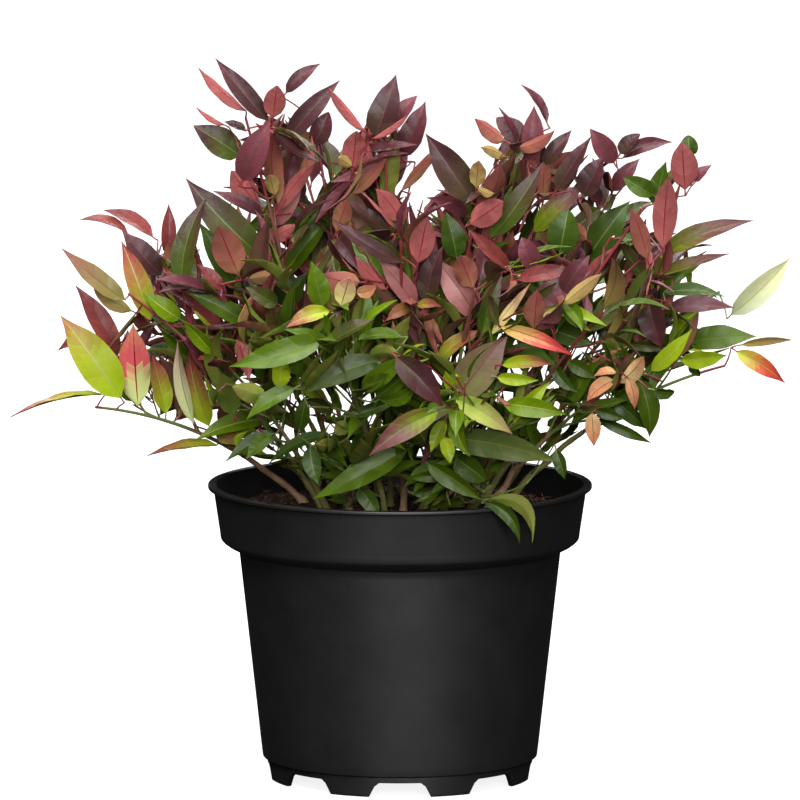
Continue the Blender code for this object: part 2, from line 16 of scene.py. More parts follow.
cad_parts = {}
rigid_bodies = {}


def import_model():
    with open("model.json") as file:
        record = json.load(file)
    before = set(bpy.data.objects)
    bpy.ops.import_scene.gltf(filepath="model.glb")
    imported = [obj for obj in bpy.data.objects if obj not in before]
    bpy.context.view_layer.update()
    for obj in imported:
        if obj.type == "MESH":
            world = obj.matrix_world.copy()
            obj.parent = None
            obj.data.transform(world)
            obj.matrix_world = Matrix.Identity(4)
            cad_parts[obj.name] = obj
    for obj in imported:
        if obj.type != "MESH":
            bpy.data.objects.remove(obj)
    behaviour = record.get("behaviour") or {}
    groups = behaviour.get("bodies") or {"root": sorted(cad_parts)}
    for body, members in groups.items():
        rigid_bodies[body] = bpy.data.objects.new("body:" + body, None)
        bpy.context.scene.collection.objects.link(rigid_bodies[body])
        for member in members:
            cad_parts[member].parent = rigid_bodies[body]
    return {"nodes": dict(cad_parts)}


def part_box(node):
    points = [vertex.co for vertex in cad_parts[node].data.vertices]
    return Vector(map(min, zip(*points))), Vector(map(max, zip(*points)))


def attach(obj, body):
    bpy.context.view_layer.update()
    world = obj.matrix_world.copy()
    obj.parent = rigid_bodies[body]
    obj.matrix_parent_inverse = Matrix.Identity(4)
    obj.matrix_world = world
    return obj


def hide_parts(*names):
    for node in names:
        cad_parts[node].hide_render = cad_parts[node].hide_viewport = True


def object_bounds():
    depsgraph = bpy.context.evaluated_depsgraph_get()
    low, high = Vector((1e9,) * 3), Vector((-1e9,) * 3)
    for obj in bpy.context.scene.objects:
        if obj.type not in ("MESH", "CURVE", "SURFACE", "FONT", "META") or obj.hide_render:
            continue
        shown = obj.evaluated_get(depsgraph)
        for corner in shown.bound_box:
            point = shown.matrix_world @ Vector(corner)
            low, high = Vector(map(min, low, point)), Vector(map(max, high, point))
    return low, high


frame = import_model()
CAD_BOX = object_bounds()

MM = 0.001
FULL_TURN = 2.0 * math.pi
UP = Vector((0.0, 0.0, 1.0))

# The pot, from the frame's box and the same sizes as the solid.
POT_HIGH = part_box("pot")[1]
LIP_RADIUS = POT_HIGH[0]
LIP_TOP = POT_HIGH[2]
LIP_DEPTH = 2.2 * MM
LIP_ROUND = 0.5 * MM
COLLAR_TOP_RADIUS = 112.0 * MM
COLLAR_LOW_RADIUS = 107.8 * MM
COLLAR_LOW = 145.5 * MM
BODY_TOP_RADIUS = 96.7 * MM
BODY_TOP = 138.3 * MM
BODY_LOW_RADIUS = 82.7 * MM
BODY_LOW = 12.8 * MM
FOOT_TOP_RADIUS = 80.0 * MM
FOOT_RADIUS = 79.1 * MM
WALL = 2.0 * MM
FLOOR_TOP = 12.4 * MM
FLOOR_UNDER = 10.0 * MM
FLOOR_MIDDLE = 20 * MM
FLOOR_ROUND = 2 * MM
BODY_ROUND = 0.7 * MM
FOOT_ROUND = 0.5 * MM
FOOT_WALL = 3.2 * MM
NOTCH_COUNT = 8
NOTCH_WIDTH = 37.0 * MM
NOTCH_TOP_WIDTH = 28.0 * MM
NOTCH_HEIGHT = 8.8 * MM
NOTCH_CORNER = 2.2 * MM
NOTCH_SPARE = 4 * MM
POT_SIDES = 192
POT_SHARP_DEGREES = 32

# The collar's foot, where it turns in to the body: distance from the axis and height in millimetres.
COLLAR_FOOT = ((107.8, 145.5), (107.5, 144.7), (106.5, 143.6), (104.0, 141.8), (100.0, 139.9),
               (98.2, 139.2), (97.2, 138.8), (96.8, 138.5))

# The peat: its top lies a little under the root ball's, and its sides follow the pot's wall.
SOIL_LOW, SOIL_TOP = (corner[2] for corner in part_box("root_ball"))
SOIL_RADIUS = 109.0 * MM
SOIL_DROP = 1.5 * MM
SOIL_RINGS, SOIL_SIDES = 60, 180
SOIL_GRAIN_MM = 0.35
SOIL_EDGE = (0.9, 0.1, 2.0 * MM)
SOIL_SIDE = ((105.0 * MM, 147.6 * MM), (94.0 * MM, 140.4 * MM), (80.0 * MM, 14.0 * MM), (79.0 * MM, SOIL_LOW))
CRUMBS = 2600
CRUMB_SIZES = (0.5, 0.7, 0.9, 1.2, 1.7)
FIBRE_EVERY = 9

# The camera that took the photograph: nearly level, far off, with a long lens.
FRAME_PIXELS = 800
CAMERA_PLACE = Vector((0.0, -5.94, 1.06))
CAMERA_AIM = Vector((0.0, 0.0, 0.228))
LENS_MM = 450.0
SENSOR_MM = 36.0
FOCAL_PIXELS = LENS_MM / SENSOR_MM * FRAME_PIXELS
LOOK = (CAMERA_AIM - CAMERA_PLACE).normalized()
LOOK_UP = Vector((0.0, -LOOK.z, LOOK.y))

# The studio: a white world, a pale floor that fades into it, and seven soft lights, each with its
# place, the height it aims at, its two sizes and its power.
WHITE = (1.0, 1.0, 1.0, 1.0)
FILL_LIGHT = 0.006
FLOOR_TONE = (0.35, 0.35, 0.35)
FLOOR_FELT = (0.008, 0.008, 0.008, 1.0)
FLOOR_GLOW = 0.86
FLOOR_FADE = (0.35, 1.3)
FLOOR_HALF = 20.0
LIGHTS = {
    "low_front": ((0.30, -3.2, 1.1), 0.2, (2.6, 0.6), 96.0),
    "key": ((-0.4, -2.5, 2.3), 0.3, (0.8, 0.8), 46.0),
    "left": ((-1.2, -1.2, 2.7), 0.3, (0.9, 0.9), 22.0),
    "right": ((1.5, -0.4, 2.5), 0.3, (0.8, 0.8), 20.0),
    "top": ((-0.1, -0.3, 2.7), 0.3, (1.3, 1.3), 62.0),
    "back": ((1.1, 1.9, 3.0), 0.3, (1.3, 1.3), 62.0),
    "low_back": ((-0.7, 2.4, 2.2), 0.3, (1.2, 0.8), 26.0),
}

# Stems. A pair of radii is a stem's at its foot and at its end.
HANDLE_SHARE = 0.36
PATH_POINTS = 33
GAP = 0.3 * MM
CANE_RADII = (2.1 * MM, 1.45 * MM)
CANE_FLARE_RADIUS = 3.2 * MM
CANE_FLARE_REACH = 2.6 * MM
CANE_SIDES = 12
CANE_RING_STEP = 1.6 * MM
CANE_SWAY = 1.4 * MM
CANE_WAVES = (1.2, 2.4)
CANE_RIDGE = 0.06
CANE_GRAIN = 0.035
SCAR_STEP = 15.0 * MM
SCAR_SWELL = 0.11
STEM_RADII = (1.3 * MM, 0.75 * MM)
SIDE_RADII = (0.85 * MM, 0.5 * MM)
FORK_RADII = (SIDE_RADII[0] * 1.2, SIDE_RADII[1])
FINE_RADII = (0.6 * MM, 0.42 * MM)
JOINT_SWELL = 1.22
TWIG_RING_STEP = 4.0 * MM

# A leaf stalk runs on into its blade by some millimetres, and a bud stands in some of the joints.
STALK_RADII = (0.58 * MM, 0.48 * MM, 0.46 * MM, 0.30 * MM)
STALK_IN_BLADE = 1.2
STALK_BEND = (0.55, 0.10)
BUD_RADII = (0.35 * MM, 0.55 * MM, 0.40 * MM, 0.07 * MM)
BUD_RINGS = (0.6, 1.3, 2.0)
BUD_PLACE, BUD_LIFT, BUD_SLANT = 0.18, 0.5, 0.9

# Where twigs leave a cane, a leader or a fork, and how long they are: those of the cane by their
# length, the others as shares of the shoot's reach.
BASAL_LENGTH = (24.0 * MM, 38.0 * MM)
BASAL_PLACES = (0.35, 0.75)
BASAL_SCALE = 0.52
SIDE_TWIG_ANGLE = math.radians(42)
SIDE_TWIG_LIFT = 0.35
SIDE_TWIG_PLACES = (0.06, 0.18, 0.30, 0.42, 0.54, 0.68)
FORK_TWIG_PLACES = (0.35, 0.7)
FINE_TWIG_PLACE = 0.45
SIDE_TWIG_REACH = (0.55, 0.75)
FINE_TWIG_REACH = (0.30, 0.48)
FORK_SHARE = 0.12

# How old a stem is at its foot, from 0 at the cane to 1 at the tips, and how much it ages along it.
FORK_AGE, SIDE_AGE, FINE_AGE, AGE_SPAN = 0.15, 0.2, 0.3, 0.5
SIDE_TWIG_FADE = 0.3
WOOD_AGE, OLIVE_AGE, DULL_AGE, GREEN_AGE = 0.22, 0.38, 0.66, 0.80

# The turn round the stem from one side twig to the next.
GOLDEN_ANGLE = math.radians(137.5)

# Leaves.
LEAF_LENGTH = 59.0 * MM
LEAF_WIDTH = 18.0 * MM
LEAF_STEP = 16.0 * MM
LEAF_THICK = 0.32 * MM
LEAF_FACING = 0.7
REACH_SHARE = 0.92

# The space before a placed leaf that others keep out of: how far it reaches to the camera, where
# it starts as a share of that, its layers, and how much of the blade's form it keeps.
SIGHT_LENGTH = 140.0 * MM
SIGHT_START = 0.006
SIGHT_LAYERS = 12
SIGHT_PROXY_START = 0.15
SIGHT_SHARES = (0.9, 0.1)

# The twiglet to a placed leaf that stands off its stem: how far it swings back behind the leaf, how
# many steps along each stem are tried for its foot, and how it bends. Wide leaves have blunt tips.
BEHIND = 9.0 * MM
STEM_STEPS = 24
TWIGLET_AHEAD, TWIGLET_BACK, TWIGLET_HANDLE = 0.12, 0.3, 0.6
BLUNT_START, BLUNT_SPAN, BLUNT_RANGE = 0.42, 0.35, (0.05, 0.9)

# The stalk's length, and the blade's outline, side veins, midrib, folds and waves.
PETIOLE = 4.5 * MM
STALK_REACH = 1.6 * PETIOLE
OUTLINE_FOOT, OUTLINE_TIP = 0.74, 1.12
DRAWN_TIP = 0.42
DRAWN_START, DRAWN_SPAN = 0.72, 0.28
BLADE_SPARE = 0.010
OVAL_FOOT, OVAL_TIP = 0.52, 0.72
TIP_LEAF_SHARE = 0.80
VEIN_PAIRS = 5
VEIN_FIRST, VEIN_LAST = 0.09, 0.90
VEIN_SHARE = 0.009
VEIN_SLANT = 0.13
VEIN_DEPTH = 0.40 * MM
TIP_ROWS = (0.90, 0.955, 1.0)
BLADE_MIDDLE = 0.52
FOOT_BEND = 0.30
FOLD_FADE = 0.35
EDGE_WAVES, EDGE_WAVE_SHIFT = 17.0, 1.3
RIB_HALF_SHARE = 0.045
RIB_DEPTH = 0.35 * MM
UNDER_RIB_DEPTH = 0.15 * MM
PROXY_START = 0.14

# How far the leaves that grow by rule may reach.
CROWN_TOP = CAD_BOX[1][2] + 3 * MM
CROWN_HALF_WIDTH = CAD_BOX[1][0] + 3 * MM
CROWN_HALF_DEPTH = CAD_BOX[1][1] + 6 * MM
SOIL_CLEARANCE = 3.0 * MM
HANG_BELOW_LIP = 26.0 * MM
BUD_SHARE = 0.22

# How leaves stand along a twig: the spread of their places between the steps, the half turns from
# one to the next, and their angle in degrees, which falls towards the twig's end. Then their
# length, which falls with age, and the same for the few leaves at the end.
LEAF_PLACES = (0.35, 0.65)
LEAF_HALF_TURNS = (0.72, 0.84)
LEAF_ANGLE, LEAF_ANGLE_FALL = 56, 24
LEAF_ANGLE_SPREAD = 0.14
LEAF_SIZE, LEAF_SIZE_FALL = 1.12, 0.30
LEAF_SIZES = (0.82, 1.16)
FINE_STEP = 0.85
END_LEAVES = 3
END_ANGLE, END_ANGLE_STEP = 8, 13
END_SIZES = (0.66, 0.86)
FIRST_END_SIZE = 0.86
END_STEP = 1.6 * MM

# Where a leaf that would cut through another is tried next: turned round its stem, and a little
# shorter. A placed leaf is tried further back instead, by steps in millimetres.
TRIAL_TURNS = (0.0, 0.5, -0.5, 1.1, -1.1, 0.2, -0.8)
TRIAL_SHRINK = 0.06
SEEN_TRIALS = 14
SEEN_TRIAL_STEP = 4.0

# The crown's underside beyond the lip, in millimetres: distance from the pot's axis and height.
UNDERSIDE = ((115, 193), (148, 198), (175, 225), (240, 218))

# Each shoot in millimetres, as in the solids: where its cane leaves the peat, the tips that it
# reaches, how far it arches over in degrees, the share of its length that is bare cane, how far its
# leaves reach, the spray of tints that its leaves take, and how far they droop.
Shoot = namedtuple("Shoot", "name region foot tips arch bare reach spray droop", defaults=(0.0,))
SHOOTS = [Shoot(*row) for row in (
    ("left_arm", "left", (-58, 22), ((-239, -20, 224),), 26, 0.30, 66, "lime_red"),
    ("left_shoulder", "left", (-46, -8), ((-204, -30, 324), (-192, 44, 342)), 14, 0.28, 60, "bronze"),
    ("left_high", "left", (-30, -14), ((-140, -52, 358),), 8, 0.26, 56, "wine"),
    ("top_left_outer", "top", (-38, 26), ((-104, -12, 444), (-114, 34, 424)), 2, 0.28, 52, "burgundy"),
    ("top_left_inner", "top", (-20, 30), ((-60, 30, 440), (-38, 52, 426)), 2, 0.28, 54, "burgundy"),
    ("top_middle", "top", (-6, 6), ((-9, -22, 436), (18, 18, 416)), 0, 0.26, 54, "wine"),
    ("top_right_inner", "top", (14, -6), ((56, -44, 400),), 2, 0.26, 50, "wine"),
    ("top_right", "top", (22, 16), ((80, 6, 424), (72, 46, 404)), 2, 0.28, 54, "burgundy"),
    ("right_high", "right", (36, 4), ((122, -12, 398), (162, 34, 389)), 5, 0.26, 56, "burgundy"),
    ("right_upper", "right", (42, -16), ((174, -40, 386),), 8, 0.28, 52, "wine"),
    ("right_shoulder", "right", (50, 22), ((215, 18, 343),), 12, 0.30, 58, "bronze"),
    ("right_arm_high", "right", (58, 40), ((238, 62, 310),), 14, 0.32, 56, "green"),
    ("right_arm", "right", (62, 4), ((240, -24, 260),), 22, 0.32, 56, "lime_green"),
    ("right_low_arm", "right", (50, -30), ((154, -96, 262), (140, -82, 230)), 16, 0.34, 50, "peach"),
    ("front_centre", "front", (2, -26), ((0, -120, 376),), 8, 0.26, 56, "wine"),
    ("front_right", "front", (20, -32), ((64, -120, 382), (100, -136, 320)), 8, 0.26, 56, "mixed"),
    ("front_left", "front", (-18, -36), ((-84, -118, 346),), 8, 0.26, 56, "mixed"),
    ("left_middle", "left", (-42, -30), ((-136, -114, 292), (-170, -66, 262)), 14, 0.28, 58, "lime_green"),
    ("low_front_left", "front", (-8, -50), ((-48, -176, 300), (-84, -170, 250)), 14, 0.26, 58, "green"),
    ("low_front_right", "front", (24, -54), ((66, -178, 278), (24, -197, 262)), 14, 0.26, 58, "lime_green"),
    ("right_front", "front", (40, -44), ((148, -132, 326), (194, -78, 300)), 12, 0.30, 56, "mixed"),
    ("rim_left", "front", (-30, -58), ((-28, -152, 222),), 16, 0.22, 50, "green"),
    ("rim_right", "front", (42, -52), ((60, -134, 200),), 16, 0.30, 54, "green", 0.9),
    ("back_left", "back", (-40, 46), ((-158, 126, 326), (-198, 90, 262)), 12, 0.28, 60, "bronze"),
    ("back_high_left", "back", (-14, 50), ((-72, 124, 394), (-104, 186, 286)), 8, 0.26, 60, "burgundy"),
    ("back_middle", "back", (2, 64), ((-4, 150, 358), (-14, 202, 256)), 12, 0.26, 60, "mixed"),
    ("back_high_right", "back", (20, 48), ((68, 124, 392), (92, 190, 282)), 8, 0.26, 60, "wine"),
    ("back_right", "back", (44, 56), ((152, 130, 322), (192, 102, 256)), 12, 0.28, 60, "lime_green"),
)]
REGIONS = ("left", "top", "right", "front", "back")
GREEN_REGIONS = ("front", "right")

# Each ramp's number of plain base colours, mixed in even steps between its stops in thousandths.
RAMPS = {
    "burgundy": (17, (58, 105, 10), (58, 52, 12), (50, 19, 19), (94, 22, 30), (175, 46, 60)),
    "crimson": (17, (300, 430, 8), (310, 350, 14), (300, 150, 40), (290, 60, 45), (130, 22, 24)),
    "green": (19, (30, 60, 5), (46, 82, 4), (65, 116, 3), (120, 200, 3), (250, 355, 5), (340, 395, 18)),
    # This ramp is a dark red leaf's own colour, lightened to pink by painted sheen.
    "rose": (11, (250, 60, 65), (290, 110, 105), (420, 190, 175)),
    "straw": (7, (340, 270, 65), (400, 250, 105), (410, 175, 110)),
    "tan": (9, (180, 170, 34), (190, 110, 45), (210, 58, 50)),
    "flame": (15, (700, 560, 130), (740, 420, 130), (700, 120, 85), (640, 55, 60), (520, 40, 50)),
    "salmon": (19, (580, 660, 240), (600, 620, 230), (740, 110, 130), (740, 130, 130),
                   (760, 220, 150), (780, 260, 170), (780, 240, 160)),
    "dusk": (15, (200, 320, 6), (150, 150, 14), (130, 45, 36), (110, 28, 30)),
    "ember": (11, (380, 500, 20), (520, 400, 50), (640, 130, 50), (600, 65, 40), (460, 40, 36)),
    "peach": (11, (450, 495, 300), (600, 540, 250), (560, 270, 120), (400, 110, 70)),
    "blush": (9, (560, 520, 150), (620, 420, 215), (620, 220, 200)),
    "pale": (9, (560, 660, 260), (620, 560, 320), (600, 340, 290)),
    "blush_lime": (9, (300, 430, 36), (430, 460, 110), (500, 330, 180)),
    "grey": (9, (32, 56, 11), (95, 122, 28), (230, 150, 70)),
    "mauve": (9, (150, 160, 50), (135, 80, 48), (100, 32, 30)),
    "under": (13, (115, 165, 20), (230, 150, 46), (270, 88, 62), (330, 84, 80), (500, 150, 145)),
    "shade": (7, (75, 100, 24), (100, 60, 30), (130, 40, 38)),
}
RIBS = {
    "rib_green": (0.100, 0.150, 0.024),
    "rib_pale": (0.340, 0.350, 0.070),
    "rib_rose": (0.150, 0.060, 0.050),
    "rib_plum": (0.100, 0.034, 0.032),
    "rib_red": (0.230, 0.014, 0.028),
}
SATIN_TINTS = ("under", "shade", "peach", "straw", "salmon", "blush", "pale")

# How far along its ramp a side vein stands out, on the upper side and on the underside.
VEIN_TINTS = {"green": 0.08, "burgundy": 0.08, "crimson": -0.08, "grey": 0.09, "dusk": -0.07}
UNDER_VEIN_TINT = -0.13

# How far along its ramp a leaf's tint clouds over, is grained, runs on to the edges, and differs
# from the next leaf's.
CLOUD, CLOUD_ALONG, CLOUD_ACROSS, CLOUD_SHARE = 0.035, 7.0, 3.0, 0.4
TINT_GRAIN = 0.009
TINT_CURVE, TINT_START, EDGE_TINT = 1.25, 0.05, 0.20
TINT_SPREAD = 0.03

# A dress is a stretch of a ramp for the upper side, from the leaf's foot to its tip, another for
# its underside, and the midrib's tint above and below.
Dress = namedtuple("Dress", "ramp foot tip under under_foot under_tip rib under_rib")
DRESSES = {
    "deep_green": Dress("green", 0.00, 0.12, "under", 0.00, 0.10, "rib_green", "rib_green"),
    "green": Dress("green", 0.16, 0.26, "under", 0.00, 0.15, "rib_green", "rib_green"),
    "mid_green": Dress("green", 0.36, 0.42, "under", 0.00, 0.15, "rib_green", "rib_green"),
    "fresh_green": Dress("green", 0.60, 0.52, "under", 0.00, 0.10, "rib_pale", "rib_green"),
    "lime": Dress("green", 0.90, 0.72, "under", 0.00, 0.20, "rib_pale", "rib_pale"),
    "green_plum": Dress("burgundy", 0.00, 0.62, "under", 0.25, 0.70, "rib_green", "rib_rose"),
    "olive": Dress("burgundy", 0.14, 0.38, "under", 0.15, 0.40, "rib_green", "rib_rose"),
    "plum": Dress("burgundy", 0.42, 0.68, "shade", 0.40, 1.00, "rib_plum", "rib_red"),
    "burgundy": Dress("burgundy", 0.60, 0.88, "under", 0.42, 0.68, "rib_plum", "rib_red"),
    "wine": Dress("burgundy", 0.80, 1.00, "under", 0.70, 0.94, "rib_plum", "rib_red"),
    "lime_red": Dress("crimson", 0.00, 0.96, "under", 0.10, 1.00, "rib_pale", "rib_red"),
    "lime_edge": Dress("crimson", 0.00, 0.62, "blush", 0.10, 1.00, "rib_pale", "rib_red"),
    "lime_plum": Dress("dusk", 0.05, 1.35, "under", 0.10, 0.80, "rib_green", "rib_red"),
    "ember": Dress("ember", 0.00, 1.20, "under", 0.10, 1.00, "rib_pale", "rib_red"),
    "pale": Dress("pale", 0.00, 1.00, "pale", 0.00, 1.00, "rib_pale", "rib_rose"),
    "amber": Dress("crimson", 0.32, 0.98, "under", 0.35, 0.90, "rib_rose", "rib_red"),
    "crimson": Dress("crimson", 0.70, 0.98, "under", 0.62, 0.92, "rib_rose", "rib_red"),
    "yellow_red": Dress("crimson", 0.12, 0.94, "under", 0.10, 1.00, "rib_pale", "rib_red"),
    "dark_red": Dress("crimson", 0.88, 1.00, "under", 0.60, 0.85, "rib_plum", "rib_red"),
    "straw": Dress("straw", 0.10, 0.60, "straw", 0.10, 0.60, "rib_pale", "rib_rose"),
    "tan": Dress("tan", 0.00, 1.00, "straw", 0.60, 1.00, "rib_rose", "rib_rose"),
    "flame": Dress("flame", 0.00, 1.00, "salmon", 0.10, 1.00, "rib_rose", "rib_red"),
    # This dress is a dark red leaf's own colour, lightened to pink by painted sheen.
    "rose": Dress("rose", 0.30, 1.00, "under", 0.60, 0.80, "rib_rose", "rib_red"),
    "salmon": Dress("crimson", 0.00, 0.80, "salmon", 0.00, 1.00, "rib_pale", "rib_red"),
    "blush": Dress("blush", 0.00, 1.00, "blush", 0.00, 1.00, "rib_pale", "rib_rose"),
    "grey_green": Dress("grey", 0.06, 0.38, "under", 0.00, 0.15, "rib_green", "rib_green"),
    "grey_blush": Dress("grey", 0.20, 0.62, "under", 0.00, 0.50, "rib_green", "rib_rose"),
    "grey_plum": Dress("mauve", 0.00, 1.00, "under", 0.15, 0.60, "rib_rose", "rib_rose"),
    "lime_blush": Dress("blush_lime", 0.00, 1.00, "blush", 0.00, 0.60, "rib_pale", "rib_pale"),
    "coral": Dress("crimson", 0.50, 0.80, "under", 0.80, 1.00, "rib_rose", "rib_red"),
    "brown": Dress("shade", 0.40, 0.70, "under", 0.42, 0.66, "rib_rose", "rib_red"),
    "peach": Dress("peach", 0.55, 0.95, "peach", 0.40, 0.80, "rib_rose", "rib_rose"),
    "cream": Dress("peach", 0.00, 0.15, "peach", 0.00, 0.10, "rib_pale", "rib_pale"),
}
GREEN_STALKED = ("deep_green", "green", "mid_green", "fresh_green", "lime", "cream")

# Each spray deals out dresses by weight: to the old leaves at its foot, the middle and the tip. A
# leaf's stage is its age, and it rises with its height.
STAGE_HEIGHT, STAGE_RISE, STAGE_SPREAD, STAGES = 0.30, 2.2, 0.18, (0.38, 0.84)
SPRAYS = {
    "burgundy": (
        {"deep_green": 6, "green": 5, "green_plum": 2, "mid_green": 1},
        {"plum": 3, "burgundy": 2, "green_plum": 4, "deep_green": 4, "green": 3, "olive": 2, "wine": 1},
        {"plum": 5, "burgundy": 4, "wine": 2, "green_plum": 3, "olive": 1},
    ),
    "wine": (
        {"deep_green": 5, "green": 5, "mid_green": 2, "green_plum": 1},
        {"burgundy": 3, "plum": 3, "green_plum": 3, "green": 4, "deep_green": 3, "olive": 2},
        {"wine": 3, "burgundy": 4, "plum": 4, "green_plum": 2, "olive": 1},
    ),
    "bronze": (
        {"green": 4, "mid_green": 3, "deep_green": 3, "green_plum": 1},
        {"olive": 3, "green_plum": 3, "burgundy": 1, "green": 4, "mid_green": 2},
        {"burgundy": 3, "wine": 2, "lime_red": 1, "green_plum": 2, "amber": 1},
    ),
    "mixed": (
        {"green": 4, "mid_green": 3, "deep_green": 4},
        {"green": 4, "mid_green": 2, "deep_green": 3, "green_plum": 2, "plum": 1, "olive": 1},
        {"burgundy": 2, "plum": 1, "lime": 1, "olive": 2, "green_plum": 2, "green": 3, "mid_green": 2},
    ),
    "green": (
        {"deep_green": 4, "green": 5, "mid_green": 2},
        {"green": 4, "mid_green": 3, "deep_green": 2, "olive": 1},
        {"mid_green": 3, "fresh_green": 2, "green": 2, "lime": 1, "green_plum": 1},
    ),
    "lime_green": (
        {"green": 5, "mid_green": 3, "deep_green": 2},
        {"mid_green": 3, "green": 3, "fresh_green": 2, "lime": 1, "olive": 1},
        {"lime": 2, "fresh_green": 3, "lime_red": 1, "mid_green": 2, "green_plum": 1},
    ),
    "lime_red": (
        {"mid_green": 3, "fresh_green": 3, "green": 3},
        {"lime_red": 3, "lime": 1, "fresh_green": 2, "amber": 1, "burgundy": 1},
        {"lime_red": 4, "amber": 2, "crimson": 1, "lime": 1},
    ),
    "peach": (
        {"mid_green": 3, "green": 3, "deep_green": 2},
        {"mid_green": 2, "green": 4, "deep_green": 2, "fresh_green": 1},
        {"peach": 1, "lime": 1, "mid_green": 3, "green": 3},
    ),
}
GREEN_SPRAYS = ("green", "lime_green", "lime_red", "peach")

